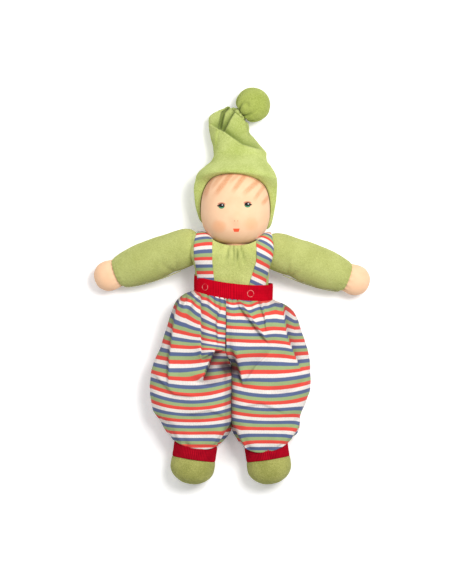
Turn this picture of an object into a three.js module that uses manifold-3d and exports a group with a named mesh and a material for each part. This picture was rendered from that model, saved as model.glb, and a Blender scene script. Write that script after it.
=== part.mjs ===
// Soft waldorf doll lying on its back: millimetres, +Z up out of the belly, +Y towards the head.
// A stuffed velour body with a tied head, ball-topped arms, flat-seamed legs, bloomers on straps
// that close with snap fasteners, and a pull-on hat with a tied pompom.
import * as THREE from 'three';
import { mergeVertices } from 'three/addons/utils/BufferGeometryUtils.js';
import Module from 'manifold-3d';

const wasm = await Module();
wasm.setup();

// General sizes
const ballRings = 5;
const roundBulge = 2;
const legBulge = 2.2;
const hatBulge = 2.1;
const tailBulge = 2.3;
const fitGap = 0.3;
const mergeTolerance = 0.02;
const cutOverrun = 40;
const velourWall = 1.2;
const jerseyWall = 1.0;
const ribWall = 2.0;
const trouserWall = 1.2;
const restFlatDepth = 0.5;
const threadRadius = 0.6;

// Torso: its waist lies at Y zero, where the waistband sits
const torsoHeight = 116;
const torsoBelowWaistShare = 0.588;
const torsoWidth = 76;
const torsoDepth = 50.5;
const torsoBottomY = -torsoBelowWaistShare * torsoHeight;
const torsoTopY = torsoBottomY + torsoHeight;
const torsoBackZ = 2.2;
const torsoBulge = 2.6;
const torsoCapAlong = 0.85;

// Head and neck
const headRadius = 31;
const headCrownHeight = 37;
const headX = 3;
const headRise = 18.8;
const headY = torsoTopY + headRise;
const neckRadius = 10.5;
const neckDepth = 13.5;
const neckPivotDrop = 33.6;
const neckHoleGap = 2.9;
const neckFootRoom = 2.4;
const neckTieGap = 0.95;
const neckTieDrop = 1.8;
const chinGap = 3.6;
const nodLimit = 8;
const turnLimit = 30;
const eyeLineRise = 5.6;
const eyeDip = 0.8;
const eyeDipSpread = 5;
const noseDrop = 8.6;
const noseHeight = 1.1;
const noseSpread = 5;
const faceHalfWidth = 22;

// Arms
const shoulderSpan = 98.5;
const shoulderDrop = 18.8;
const shoulderY = torsoTopY - shoulderDrop;
const shoulderZ = 25;
const shoulderLean = 2.3;
const armSlope = 20;
const armDroop = 9;
const sleeveLength = 59;
const sleeveRadius = 18.3;
const sleeveBallRadius = 17.6;
const seamBandThickness = 0.8;
const seamBandFront = 10.5;
const seamBandBack = 14;
const handLength = 27;
const handRadius = 13.8;
const wristRadius = 11;
const handFlatShare = 0.88;

// Legs
const hipSpan = 41;
const hipShift = -1;
const hipDrop = 1.6;
const hipY = torsoBottomY - hipDrop;
const hipZ = 20;
const legLength = 109.8;
const legWidth = 38.4;
const legDepth = 35;
const legSplayShare = 0.15;
const legSinkShare = 0.012;
const seamHalfLength = 15;
const hipThreadRadius = 1.1;

// Ankle cuffs
const cuffTop = 73.6;
const cuffHeight = 14.6;
const cuffCutShare = 0.25;
const tiltStartDrop = 40;

// Waistband
const bandX = 1.2;
const bandZ = 25.4;
const bandWidth = 70.6;
const bandDepth = 50;
const bandHeight = 15;
const bandLeanShare = -0.09;
const bandTiltShare = -0.22;
const bandBulge = 2.4;

// Trousers
const trouserTopY = -7.9;
const trouserLength = 135.5;
const trouserSpreadLeft = 74.3;
const trouserSpreadRight = 70.9;
const trouserDepth = 54.5;
const trouserBulge = 2.5;
const crotchDrop = 5.8;
const crotchY = torsoBottomY - crotchDrop;
const crotchX = -0.5;
const waistSeamX = -5.5;
const leanFadeRise = 8.2;
const leanFadeY = torsoBottomY + leanFadeRise;
const waistFoldDepth = 1.3;
const waistFoldAlong = 0.16;
const waistFoldEase = 0.05;
const cuffFoldDepth = 0.9;
const cuffFoldAlong = 0.1;
const cuffFoldEase = 0.03;
const foldCount = 8;
const seatBlendAlong = 0.2;
const tuckAlong = 0.03;
const tuckDepth = 2.5 * trouserWall;

// Straps
const strapWidth = 18;
const strapWall = 1.0;
const strapGap = 0.7;
const strapChinRoom = 0.8;
const strapLeftTopX = 17;
const strapLeftLowX = 14;
const strapRightTopX = 21;
const strapRightLowX = 10.5;
const strapBackX = 7;
const strapTail = 4.8;
const strapBackEndY = 3;
const strapTurnDrop = 25.8;
const strapTurnY = torsoTopY - strapTurnDrop;
const strapTurnZ = 27;
const strapStepsByThird = [5, 20, 4];
const strapAcross = 3;

// Snap fasteners
const snapLeftX = -24.1;
const snapRightX = 16.5;
const snapRadius = 3.3;
const snapCollarRadius = 2.2;
const snapCollarWall = 0.5;
const snapFlange = 0.5;
const snapSocketHeight = 0.9;
const snapStudHeight = 0.5;
const snapSettle = 0.5;

// Hat
const hatWall = 2.8;
const hatFitGap = 0.4;
const hatBottomDrop = 24.6;
const hatNapeDrop = 16.6;
const hatRimRise = 13.4;
const hatBottomY = headY - hatBottomDrop;
const hatNapeY = headY - hatNapeDrop;
const hatRimY = headY + hatRimRise;
const hatRimSlope = 1.37;
const hatRimLean = -0.045;
const hatBodyWidth = 74.8;
const hatBodyDepth = 66.5;
const hatCrownRise = 52.4;
const hatHollowEndRise = 4;
const hatCrownY = headY + hatCrownRise;
const hatHollowEndY = hatCrownY + hatHollowEndRise;
const tailWidth = 47.5;
const tailDepth = 31;
const foldStep = 3.2;
const foldStartShare = [-0.5, 0.52];
const foldEndShare = [0.64, 0];
const foldSoftness = 2.5;

// Pompom and its tie
const pompomRadius = 15.8;
const pompomX = 19;
const pompomRise = 96.4;
const pompomY = headY + pompomRise;
const pompomZ = 16;
const tieSetback = 12.5;
const tailEndRadius = 5.2;
const tailEndSetback = 1.1;
const pompomNeckRadius = 4.2;
const pompomStemRadius = 3.2;
const pompomDentRadius = 10.7;
const pompomDentSetback = 6.2;

const headZ = hatWall + headRadius;
const leftSide = -1;
const rightSide = 1;

// Finishes
const finish = (color, roughness, metalness = 0) =>
  new THREE.MeshStandardMaterial({ color, roughness, metalness });
const velour = finish(0xb4bf6c, 0.95);
const skin = finish(0xf6d9b4, 0.85);
const wool = finish(0xefe7d6, 1);
const redRib = finish(0xb4081f, 0.9);
const stripes = finish(0xc9b6a8, 0.85);
const thread = finish(0xd8d2a8, 0.8);
const steel = finish(0xc4c4c8, 0.3, 1);

// Turns a closed geometry into a solid, facing outwards
function toSolid(geometry) {
  const bare = geometry.clone();
  bare.deleteAttribute('normal');
  bare.deleteAttribute('uv');
  const merged = mergeVertices(bare);
  const vertProperties = new Float32Array(merged.attributes.position.array);
  const triVerts = new Uint32Array(merged.index.array);
  if (signedVolume(vertProperties, triVerts) < 0) {
    for (let i = 0; i < triVerts.length; i += 3) {
      [triVerts[i + 1], triVerts[i + 2]] = [triVerts[i + 2], triVerts[i + 1]];
    }
  }
  return new wasm.Manifold(new wasm.Mesh({ numProp: 3, vertProperties, triVerts }));
}

function signedVolume(places, corners) {
  const at = (index) => new THREE.Vector3().fromArray(places, 3 * index);
  let volume = 0;
  for (let i = 0; i < corners.length; i += 3) {
    volume += at(corners[i]).dot(at(corners[i + 1]).cross(at(corners[i + 2])));
  }
  return volume;
}

// The largest body of a trimmed solid, without the slivers that a cut leaves
const mainBody = (solid) => solid.decompose().sort((a, b) => b.volume() - a.volume())[0];

// Names a finished solid as one piece of the doll
function piece(name, solid, material) {
  const cut = mainBody(solid.simplify(mergeTolerance)).getMesh();
  const geometry = new THREE.BufferGeometry();
  const places = new Float32Array(cut.numVert * 3);
  for (let i = 0; i < cut.numVert; i++) {
    for (let k = 0; k < 3; k++) {
      places[3 * i + k] = cut.vertProperties[i * cut.numProp + k];
    }
  }
  geometry.setAttribute('position', new THREE.BufferAttribute(places, 3));
  geometry.setIndex(new THREE.BufferAttribute(new Uint32Array(cut.triVerts), 1));
  geometry.computeVertexNormals();
  const mesh = new THREE.Mesh(geometry, material);
  mesh.name = name;
  return mesh;
}

// One cross section square to Y: a rounded box between its four extents
function ring(y, left, right, low, high, bulge, count) {
  const points = [];
  for (let i = 0; i < count; i++) {
    const angle = (2 * Math.PI * i) / count;
    const c = Math.cos(angle);
    const s = Math.sin(angle);
    const across = Math.sign(c) * Math.abs(c) ** (2 / bulge);
    const up = Math.sign(s) * Math.abs(s) ** (2 / bulge);
    const x = (left + right) / 2 + ((right - left) / 2) * across;
    const z = (low + high) / 2 + ((high - low) / 2) * up;
    points.push(new THREE.Vector3(x, y, z));
  }
  return points;
}

// Skins a row of rings and closes both ends
function loft(rings) {
  const count = rings[0].length;
  const points = rings.flat();
  const index = [];
  for (let r = 0; r + 1 < rings.length; r++) {
    for (let i = 0; i < count; i++) {
      const a = r * count + i;
      const b = r * count + ((i + 1) % count);
      index.push(a, b, a + count, b, b + count, a + count);
    }
  }
  const ends = [[0, true], [rings.length - 1, false]];
  for (const [r, first] of ends) {
    const centre = new THREE.Vector3();
    rings[r].forEach((point) => centre.addScaledVector(point, 1 / count));
    const hub = points.push(centre) - 1;
    for (let i = 0; i < count; i++) {
      const a = r * count + i;
      const b = r * count + ((i + 1) % count);
      index.push(...(first ? [hub, b, a] : [hub, a, b]));
    }
  }
  const geometry = new THREE.BufferGeometry();
  const places = new Float32Array(points.flatMap((point) => point.toArray()));
  geometry.setAttribute('position', new THREE.BufferAttribute(places, 3));
  geometry.setIndex(index);
  return toSolid(geometry);
}

// Smooth reading of a table whose first column is the share along a piece
function readShares(table, along) {
  const last = table.length - 1;
  let k = 0;
  while (k < last - 1 && along > table[k + 1][0]) {
    k++;
  }
  const from = table[k];
  const to = table[k + 1];
  const before = table[Math.max(k - 1, 0)];
  const after = table[Math.min(k + 2, last)];
  const width = to[0] - from[0];
  const t = THREE.MathUtils.clamp((along - from[0]) / width, 0, 1);
  return from.map((value, column) => {
    const rise = to[column] - value;
    const inRise = value - before[column];
    const outRise = after[column] - to[column];
    const inSlope = inRise * rise > 0 ? ((to[column] - before[column]) * width) / (to[0] - before[0]) : 0;
    const outSlope = outRise * rise > 0 ? ((after[column] - value) * width) / (after[0] - from[0]) : 0;
    const t2 = t * t;
    const t3 = t2 * t;
    return (2 * t3 - 3 * t2 + 1) * value + (t3 - 2 * t2 + t) * inSlope
      + (3 * t2 - 2 * t3) * to[column] + (t3 - t2) * outSlope;
  });
}

const stations = (table) => table.map((row) => row[0]);

function ball(radius, x, y, z, steps = 18) {
  const geometry = new THREE.SphereGeometry(radius, steps, steps / 2);
  return toSolid(geometry.translate(x, y, z));
}

function slab(left, right, back, front, low, high) {
  const geometry = new THREE.BoxGeometry(right - left, front - back, high - low);
  return toSolid(geometry.translate((left + right) / 2, (back + front) / 2, (low + high) / 2));
}

// A revolved body about Y whose profile is given as radius and height pairs
function turned(profile, steps = 16) {
  const points = profile.map(([radius, height]) => new THREE.Vector2(radius, height));
  return toSolid(new THREE.LatheGeometry(points, steps));
}

function tube(radius, from, to, steps = 16) {
  return turned([[0, from], [radius, from], [radius, to], [0, to]], steps);
}

const radians = THREE.MathUtils.degToRad;

// Torso: columns are along, half width, back and front
const torsoShares = [
  [0, 0.88, 0.335, 0.37],
  [0.036, 0.91, 0.26, 0.445],
  [0.105, 0.95, 0.125, 0.595],
  [0.19, 0.97, 0.04, 0.75],
  [0.33, 0.95, 0.04, 0.8],
  [0.48, 0.785, 0.07, 0.765],
  [0.57, 0.785, 0.07, 0.765],
  [0.66, 0.785, 0.07, 0.85],
  [0.71, 0.79, 0.065, 0.9],
  [0.76, 0.89, 0.015, 0.965],
  [0.83, 1, 0, 1],
  [0.9, 0.99, 0.05, 0.95],
  [0.95, 0.93, 0.15, 0.85],
  [0.985, 0.8, 0.29, 0.7],
  [1, 0.6, 0.42, 0.57],
];

function torsoSection(along) {
  const last = torsoShares.length - 2;
  const k = Math.min(Math.max(torsoShares.findLastIndex((row) => row[0] <= along), 0), last);
  const from = torsoShares[k];
  const to = torsoShares[k + 1];
  const share = (along - from[0]) / (to[0] - from[0]);
  const [, width, back, front] = from.map((value, column) => THREE.MathUtils.lerp(value, to[column], share));
  return {
    y: torsoBottomY + along * torsoHeight,
    half: (width * torsoWidth) / 2,
    low: torsoBackZ + back * torsoDepth,
    high: torsoBackZ + front * torsoDepth,
  };
}

function torsoForm(inset, count) {
  const rings = stations(torsoShares).map((along) => {
    const s = torsoSection(along);
    const y = s.y + inset * (1 - 2 * along);
    const half = Math.max(s.half - inset, inset);
    const middle = (s.low + s.high) / 2;
    const deep = Math.max((s.high - s.low) / 2 - inset, restFlatDepth / 2);
    return ring(y, -half, half, middle - deep, middle + deep, torsoBulge, count);
  });
  return loft(rings);
}

// Height of the torso's front (side 1) or back (side -1) at a place, or that far above it
function torsoSurface(x, y, side, above = 0) {
  const s = torsoSection((y - torsoBottomY) / torsoHeight);
  const share = Math.max(1 - (Math.abs(x) / (s.half + above)) ** torsoBulge, 0) ** (1 / torsoBulge);
  return (s.low + s.high) / 2 + side * share * ((s.high - s.low) / 2 + above);
}

// Front (side 1) or back (side -1) of the torso and the sleeve tops together, under a strap
function bodySurface(x, y, side, above) {
  const place = shoulderPlace(Math.sign(x));
  const round = (armholeRadius + above) ** 2 - (x - place.x) ** 2 - (y - place.y) ** 2;
  const torso = torsoSurface(x, y, side, above);
  if (round <= 0) {
    return torso;
  }
  const sleeve = place.z + side * Math.sqrt(round);
  return side > 0 ? Math.max(torso, sleeve) : Math.min(torso, sleeve);
}

// True closer than above to the torso or a sleeve's ball and clear of the head, for the strap's turn
function insideBody(x, y, z, above) {
  const room = headRadius + chinGap - strapChinRoom - above;
  const nearHead = headPlaces.some((head) => Math.hypot(x - head.x, y - head.y, z - head.z) < room);
  const place = shoulderPlace(Math.sign(x));
  if (Math.hypot(x - place.x, y - place.y, z - place.z) < armholeRadius + above) {
    return true;
  }
  const along = (y - torsoBottomY) / torsoHeight;
  const level = along - (above / torsoHeight) * THREE.MathUtils.smoothstep(along, torsoCapAlong, 1);
  if (level >= 1 || nearHead) {
    return false;
  }
  const s = torsoSection(level);
  const across = (Math.abs(x) / (s.half + above)) ** torsoBulge;
  const up = (Math.abs(z - (s.low + s.high) / 2) / ((s.high - s.low) / 2 + above)) ** torsoBulge;
  return across + up < 1;
}

const shoulderPlace = (side) => {
  const x = (side * shoulderSpan) / 2;
  return new THREE.Vector3(x, shoulderY - x * Math.tan(radians(shoulderLean)), shoulderZ);
};
const armholeRadius = sleeveBallRadius + 3 * fitGap + seamBandThickness;
const neckY = headY - neckPivotDrop;

// Where the head's middle comes at the ends of its turn and its nod
const headPlaces = [-turnLimit, 0, turnLimit].flatMap((turn) => [-nodLimit, nodLimit].map((nod) => (
  new THREE.Vector3(0, neckPivotDrop, 0)
    .applyAxisAngle(new THREE.Vector3(1, 0, 0), radians(nod))
    .applyAxisAngle(new THREE.Vector3(0, 1, 0), radians(turn))
    .add(new THREE.Vector3(headX, neckY, headZ))
)));

// Room in the torso's top for the head wherever it turns and nods
function headRoom(margin) {
  const balls = headPlaces.map((head) => ball(headRadius + margin, head.x, head.y, head.z, 20));
  return wasm.Manifold.hull(balls);
}

function neckRoom(margin) {
  const low = neckY - neckDepth - neckFootRoom - margin;
  return tube(neckRadius + neckHoleGap + margin, low, headY).translate([headX, 0, headZ]);
}

// Where the two snaps sit on the waistband's front
const snapPlaces = [snapLeftX, snapRightX].map((x) => {
  const share = (x - bandX) / (bandWidth / 2);
  const z = bandZ + (bandDepth / 2) * (1 - Math.abs(share) ** bandBulge) ** (1 / bandBulge);
  const slopeX = Math.sign(share) * Math.abs(share) ** (bandBulge - 1) / (bandWidth / 2);
  const slopeZ = ((z - bandZ) / (bandDepth / 2)) ** (bandBulge - 1) / (bandDepth / 2);
  const outwards = new THREE.Vector3(slopeX, 0, slopeZ).normalize();
  return { point: new THREE.Vector3(x, waistLean(x, z), z), outwards };
});

function waistLean(x, z) {
  return bandLeanShare * (x - bandX) + bandTiltShare * (z - bandZ);
}

// How far below the band's face a snap's axis meets the strap's outer face
function strapDepth(snap) {
  const reach = snap.point.clone();
  const step = fitGap / 10;
  let depth = 0;
  while (reach.z > torsoSurface(reach.x, reach.y, 1) && depth < torsoDepth) {
    reach.addScaledVector(snap.outwards, -step);
    depth += step;
  }
  return depth - strapGap - strapWall;
}

// Sets something turned about Y onto a snap's axis, at a depth below the band's face
function onSnap(solid, snap, depth) {
  const turn = new THREE.Quaternion().setFromUnitVectors(new THREE.Vector3(0, 1, 0), snap.outwards);
  const place = snap.point.clone().addScaledVector(snap.outwards, -depth);
  const matrix = new THREE.Matrix4().compose(place, turn, new THREE.Vector3(1, 1, 1));
  return solid.transform(matrix.toArray());
}

function snapDent(margin) {
  let dents = null;
  for (const snap of snapPlaces) {
    const floor = strapWall + snapSettle + snapFlange + fitGap + margin;
    const dent = onSnap(tube(snapRadius + fitGap + margin, -floor, cutOverrun, 10), snap, strapDepth(snap));
    dents = dents ? dents.add(dent) : dent;
  }
  return dents;
}

function armRoom(margin) {
  let room = null;
  for (const side of [leftSide, rightSide]) {
    const place = shoulderPlace(side);
    const one = ball(armholeRadius + margin, place.x, place.y, place.z, 18);
    room = room ? room.add(one) : one;
  }
  return room;
}

// Torso cover and its stuffing
const torsoOuter = torsoForm(0, 20).subtract(headRoom(chinGap)).subtract(snapDent(0));
const torsoHollow = torsoForm(velourWall, 16)
  .subtract(headRoom(chinGap + velourWall))
  .subtract(snapDent(velourWall));
const torsoCover = torsoOuter.subtract(torsoHollow).subtract(armRoom(0)).subtract(neckRoom(0));
const torsoStuffing = torsoForm(velourWall + 2 * fitGap, 14)
  .subtract(headRoom(chinGap + velourWall + 2 * fitGap))
  .subtract(snapDent(velourWall + fitGap))
  .subtract(armRoom(fitGap))
  .subtract(neckRoom(fitGap));

// Head: a ball with a taller crown, a soft dip at the eye line and a small nose
function headForm(inset, count, withNeck) {
  const rings = [];
  const steps = count / 2;
  for (let k = 1; k < steps; k++) {
    const angle = -Math.PI / 2 + (Math.PI * k) / steps;
    const tall = (angle < 0 ? headRadius : headCrownHeight) - inset;
    const round = (headRadius - inset) * Math.cos(angle);
    const y = headY + tall * Math.sin(angle);
    const points = ring(y, headX - round, headX + round, headZ - round, headZ + round, roundBulge, count);
    points.forEach((point) => shapeFace(point));
    rings.push(points);
  }
  const form = loft(rings);
  const low = neckY - neckDepth;
  return withNeck ? form.add(tube(neckRadius - inset, low, headY).translate([headX, 0, headZ])) : form;
}

function shapeFace(point) {
  const front = THREE.MathUtils.clamp((point.z - headZ) / headRadius, 0, 1);
  const aside = Math.abs(point.x - headX) / faceHalfWidth;
  const eye = Math.exp(-(((point.y - headY - eyeLineRise) / eyeDipSpread) ** 2) - aside ** 4);
  const noseX = (point.x - headX) / noseSpread;
  const noseY = (point.y - headY + noseDrop) / noseSpread;
  const nose = Math.exp(-(noseX ** 2) - noseY ** 2);
  point.z += front * (noseHeight * nose - eyeDip * eye);
}

const headCoreRadius = headRadius - jerseyWall - fitGap;
const eyeLineRadius = headCoreRadius * Math.cos(Math.asin(eyeLineRise / headCrownHeight));
const eyeTieMajor = eyeLineRadius - 2 * threadRadius - eyeDip;
const torus = (major, minor) => toSolid(new THREE.TorusGeometry(major, minor, 5, 18).rotateX(Math.PI / 2));
const atHead = (solid, y) => solid.translate([headX, y, headZ]);
const grooveFloor = eyeTieMajor - threadRadius - 2 * fitGap;
const grooveHalf = threadRadius + fitGap;
const grooveRing = turned([
  [grooveFloor, -grooveHalf],
  [headRadius + jerseyWall, -grooveHalf],
  [headRadius + jerseyWall, grooveHalf],
  [grooveFloor, grooveHalf],
  [grooveFloor, -grooveHalf],
], 18);
const eyeGroove = atHead(grooveRing, headY + eyeLineRise);
const headCore = headForm(jerseyWall + fitGap, 16, true).subtract(eyeGroove);
const neckEndY = neckY - neckDepth + fitGap;
const neckCut = slab(headX - cutOverrun, headX + cutOverrun, -cutOverrun, neckEndY, 0, 2 * headZ);
const headSkin = headForm(0, 24, true).subtract(headForm(jerseyWall, 16, true)).subtract(neckCut);
const eyeLineTie = atHead(torus(eyeTieMajor, threadRadius), headY + eyeLineRise);
const neckTieY = headY - headRadius - neckTieDrop;
const neckTie = atHead(torus(neckRadius + neckTieGap + threadRadius, threadRadius), neckTieY);

// Sleeve about its own axis: columns are along, half width and half thickness
const sleeveShares = [
  [0, 0.962, 0.962],
  [0.12, 0.975, 0.96],
  [0.35, 1, 0.95],
  [0.6, 0.97, 0.92],
  [0.8, 0.89, 0.85],
  [0.93, 0.79, 0.77],
  [1, 0.68, 0.68],
];

function sleeveForm(inset, count, end) {
  const rings = [];
  const ballRadius = sleeveBallRadius - inset;
  for (let k = 1; k < ballRings; k++) {
    const angle = -Math.PI / 2 + (Math.PI / 2) * (k / ballRings);
    const r = ballRadius * Math.cos(angle);
    rings.push(ring(ballRadius * Math.sin(angle), -r, r, -r, r, roundBulge, count));
  }
  for (const along of stations(sleeveShares)) {
    const [, width, thick] = readShares(sleeveShares, along);
    const w = width * sleeveRadius - inset;
    const t = thick * sleeveRadius - inset;
    rings.push(ring(along * end, -w, w, -t, t, roundBulge, count));
  }
  return loft(rings);
}

const handShares = [
  [0, 0.8, 0.8],
  [0.22, 0.9, 0.88],
  [0.45, 1, 1],
  [0.68, 0.93, 0.95],
  [0.85, 0.7, 0.74],
  [0.95, 0.43, 0.46],
  [1, 0.16, 0.18],
];

function handForm(inset, count) {
  const rings = stations(handShares).map((along) => {
    const [, width, thick] = readShares(handShares, along);
    const w = Math.max(width * handRadius - inset, inset / 2);
    const t = Math.max(thick * handRadius * handFlatShare - inset, inset / 2);
    return ring(wristStart + along * (handLength - inset), -w, w, -t, t, roundBulge, count);
  });
  return loft(rings);
}

const wristStart = sleeveLength - wristRadius / 2;
const sleeveMouth = (margin) =>
  tube(wristRadius + margin, wristStart - velourWall, sleeveLength + cutOverrun);
const handOuter = handForm(0, 20);
const handHollow = handForm(jerseyWall, 16);
const sleeveHollowLength = sleeveLength - velourWall;
const sleeveCover = sleeveForm(0, 18, sleeveLength)
  .subtract(sleeveForm(velourWall, 14, sleeveHollowLength))
  .subtract(handForm(-fitGap, 20));
const handThroat = tube(wristRadius - 2 * jerseyWall, wristStart - jerseyWall, wristStart + 3 * jerseyWall);
const handCover = handOuter.subtract(handHollow).subtract(handThroat);
const armStuffing = sleeveForm(velourWall + fitGap, 14, sleeveHollowLength - fitGap)
  .subtract(slab(-cutOverrun, cutOverrun, wristStart - fitGap, 2 * sleeveLength, -cutOverrun, cutOverrun))
  .add(tube(wristRadius - 2 * jerseyWall - fitGap, wristStart - 2 * velourWall, wristStart + 4 * jerseyWall, 14))
  .add(handForm(jerseyWall + fitGap, 16));

const seamBandInner = sleeveBallRadius + fitGap;
const seamBandOuter = seamBandInner + seamBandThickness;
const seamBandEdges = [-seamBandBack, -(seamBandBack + seamBandFront) / 2, -seamBandFront];
const bandRadius = (radius, y) => Math.sqrt(radius * radius - y * y);
const armholeSeam = turned([
  ...seamBandEdges.map((y) => [bandRadius(seamBandOuter, y), y]),
  ...seamBandEdges.toReversed().map((y) => [bandRadius(seamBandInner, y), y]),
  [bandRadius(seamBandOuter, seamBandEdges[0]), seamBandEdges[0]],
], 20);

function arm(side, label) {
  const group = new THREE.Group();
  group.position.copy(shoulderPlace(side));
  group.rotation.order = 'ZYX';
  group.rotation.set(-radians(armDroop), 0, -side * (Math.PI / 2 + radians(armSlope)));
  group.add(piece(`${label}_sleeve`, sleeveCover, velour));
  group.add(piece(`${label}_arm_stuffing`, armStuffing, wool));
  group.add(piece(`${label}_hand`, handCover, skin));
  group.add(piece(`${label}_armhole_seam`, armholeSeam, thread));
  return group;
}

// Leg: columns are along, half width and half thickness
const legShares = [
  [0.0145, 0.83, 0.045],
  [0.055, 0.86, 0.26],
  [0.13, 0.89, 0.66],
  [0.22, 0.9, 0.89],
  [0.41, 0.91, 0.94],
  [0.62, 0.885, 0.93],
  [0.68, 0.88, 0.915],
  [0.82, 0.88, 0.915],
  [0.855, 0.93, 0.95],
  [0.9, 1, 1],
  [0.945, 0.985, 0.99],
  [0.98, 0.87, 0.88],
  [0.997, 0.6, 0.62],
  [1, 0.3, 0.32],
];

function legSection(along) {
  const [, width, thick] = readShares(legShares, along);
  return { drop: along * legLength, half: (width * legWidth) / 2, deep: (thick * legDepth) / 2 };
}

// Towards the ankle a ring stands square to the splayed leg, and at the toes it is level again
function legRing(drop, half, deep, count) {
  const x = drop * legSplayShare;
  const z = -drop * legSinkShare;
  const points = ring(-drop, x - half, x + half, z - deep, z + deep, legBulge, count);
  const tilt = ankleTilt(drop) * (1 - THREE.MathUtils.smoothstep(drop, cuffTop + cuffHeight, legLength));
  points.forEach((point) => {
    point.y += tilt * (point.x - x);
  });
  return points;
}

function ankleTilt(drop) {
  return legSplayShare * THREE.MathUtils.smoothstep(drop, tiltStartDrop, cuffTop);
}

function legForm(inset, count, open = false) {
  const rings = stations(legShares).map((along) => {
    const s = legSection(along);
    const drop = s.drop + inset * (1 - 2 * along);
    const half = Math.max(s.half - inset, inset);
    const deep = Math.max(s.deep - inset, restFlatDepth / 2);
    return legRing(drop, half, deep, count);
  });
  if (open) {
    rings.unshift(rings[0].map((point) => point.clone().setY(cutOverrun)));
  }
  return loft(rings);
}

function cuffForm(inset, overrun, count) {
  const rings = [-overrun, 0, 0.5, 1, 1 + overrun].map((share) => {
    const drop = cuffTop + cuffHeight * share;
    const s = legSection(drop / legLength);
    return legRing(drop, s.half + inset, s.deep + inset, count);
  });
  const used = overrun > 0 ? rings : rings.slice(1, 4);
  return loft(used);
}

const legCover = legForm(0, 18).subtract(legForm(velourWall, 14, true));
const legStuffing = legForm(velourWall + 2 * fitGap, 12);
const ankleCuff = cuffForm(fitGap + ribWall, 0, 24).subtract(cuffForm(fitGap, cuffCutShare, 20));
const hipSeamThread = tube(hipThreadRadius, -seamHalfLength, seamHalfLength, 12).rotate([0, 0, 90]);

function mirrored(solid, side) {
  return side === leftSide ? solid.mirror([1, 0, 0]) : solid;
}

function leg(side, label) {
  const group = new THREE.Group();
  group.position.set(hipShift + (side * hipSpan) / 2, hipY, hipZ);
  group.add(piece(`${label}_leg_cover`, mirrored(legCover, side), velour));
  group.add(piece(`${label}_leg_stuffing`, mirrored(legStuffing, side), wool));
  group.add(piece(`${label}_ankle_cuff`, mirrored(ankleCuff, side), redRib));
  group.add(piece(`${label}_hip_seam`, hipSeamThread, thread));
  return group;
}

// Waistband, leaning as it sits on the doll
function leanRing(y, left, right, low, high, bulge, count, weight) {
  const points = ring(y, left, right, low, high, bulge, count);
  points.forEach((point) => {
    point.y += weight * waistLean(point.x, point.z);
  });
  return points;
}

function bandForm(inset, overrun) {
  const half = bandWidth / 2 - inset;
  const deep = bandDepth / 2 - inset;
  const reach = bandHeight / 2 + overrun;
  const rings = [-reach, 0, reach].map((y) => (
    leanRing(y, bandX - half, bandX + half, bandZ - deep, bandZ + deep, bandBulge, 36, 1)
  ));
  return loft(rings);
}

function snapHoles(radius) {
  let holes = null;
  for (const snap of snapPlaces) {
    const hole = onSnap(tube(radius, -snapRadius - ribWall, snapRadius, 12), snap, 0);
    holes = holes ? holes.add(hole) : hole;
  }
  return holes;
}

const collarHole = snapCollarRadius + fitGap;
const waistband = bandForm(0, 0).subtract(bandForm(ribWall, ribWall)).subtract(snapHoles(collarHole));

// Trousers: columns are along, left edge, right edge and front
const trouserShares = [
  [0, 0.46, 0.515, 0.925],
  [0.035, 0.58, 0.68, 0.985],
  [0.085, 0.68, 0.79, 1.01],
  [0.2, 0.76, 0.875, 1.01],
  [0.35, 0.855, 0.952, 0.975],
  [0.46, 0.95, 0.99, 0.94],
  [0.57, 0.99, 1, 0.9],
  [0.65, 1, 0.985, 0.88],
  [0.72, 0.99, 0.94, 0.86],
  [0.79, 0.96, 0.87, 0.83],
  [0.88, 0.875, 0.853, 0.79],
  [0.93, 0.835, 0.856, 0.76],
  [0.965, 0.787, 0.83, 0.735],
  [1, 0.71, 0.727, 0.69],
];

// Inner edge of each trouser leg below the crotch, as shares of its spread
const insideLegShares = [
  [0.42, 0.012, 0.012],
  [0.86, 0.012, 0.012],
  [0.93, 0.07, 0.03],
  [0.965, 0.12, 0.08],
  [1, 0.188, 0.16],
];

function trouserSection(along) {
  const [, left, right, front] = readShares(trouserShares, along);
  const y = trouserTopY - along * trouserLength;
  const weight = THREE.MathUtils.clamp((y - leanFadeY) / (trouserTopY - leanFadeY), 0, 1);
  const topLow = restFlatDepth + bandZ - bandDepth / 2;
  const low = along === 0 ? topLow : -restFlatDepth;
  return {
    y,
    weight,
    low,
    left: -left * trouserSpreadLeft,
    right: right * trouserSpreadRight,
    front: front * trouserDepth,
  };
}

// Soft folds gathered at the waistband and at the cuffs
function fold(points, along, inset) {
  const left = 1 - along;
  const waist = Math.exp(-((along / waistFoldAlong) ** 2)) * Math.min(along / waistFoldEase, 1);
  const cuff = Math.exp(-((left / cuffFoldAlong) ** 2)) * Math.min(left / cuffFoldEase, 1);
  const depth = inset > 0 ? 0 : waistFoldDepth * waist + cuffFoldDepth * cuff;
  const centre = new THREE.Vector3();
  points.forEach((point) => centre.addScaledVector(point, 1 / points.length));
  points.forEach((point, i) => {
    const outwards = point.clone().sub(centre).setY(0).normalize();
    const wave = Math.cos(foldCount * 2 * Math.PI * (i / points.length));
    point.addScaledVector(outwards, depth * (wave - 1) / 2);
  });
  return points;
}

function trouserRing(along, inset, side, count) {
  const s = trouserSection(along);
  const [, leftInner, rightInner] = readShares(insideLegShares, along);
  const left = side === rightSide ? rightInner * trouserSpreadRight : s.left;
  const right = side === leftSide ? -leftInner * trouserSpreadLeft : s.right;
  const low = s.low + inset + (inset > 0 ? restFlatDepth : 0);
  const high = s.front - inset;
  const points = leanRing(s.y, left + inset, right - inset, low, high, trouserBulge, count, s.weight);
  if (side !== 0) {
    keepUnderSeat(points, along, s.left + inset, s.right - inset, low, high);
    squareToLeg(points, hipY - s.y, side);
  }
  return fold(points, along, inset);
}

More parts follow.
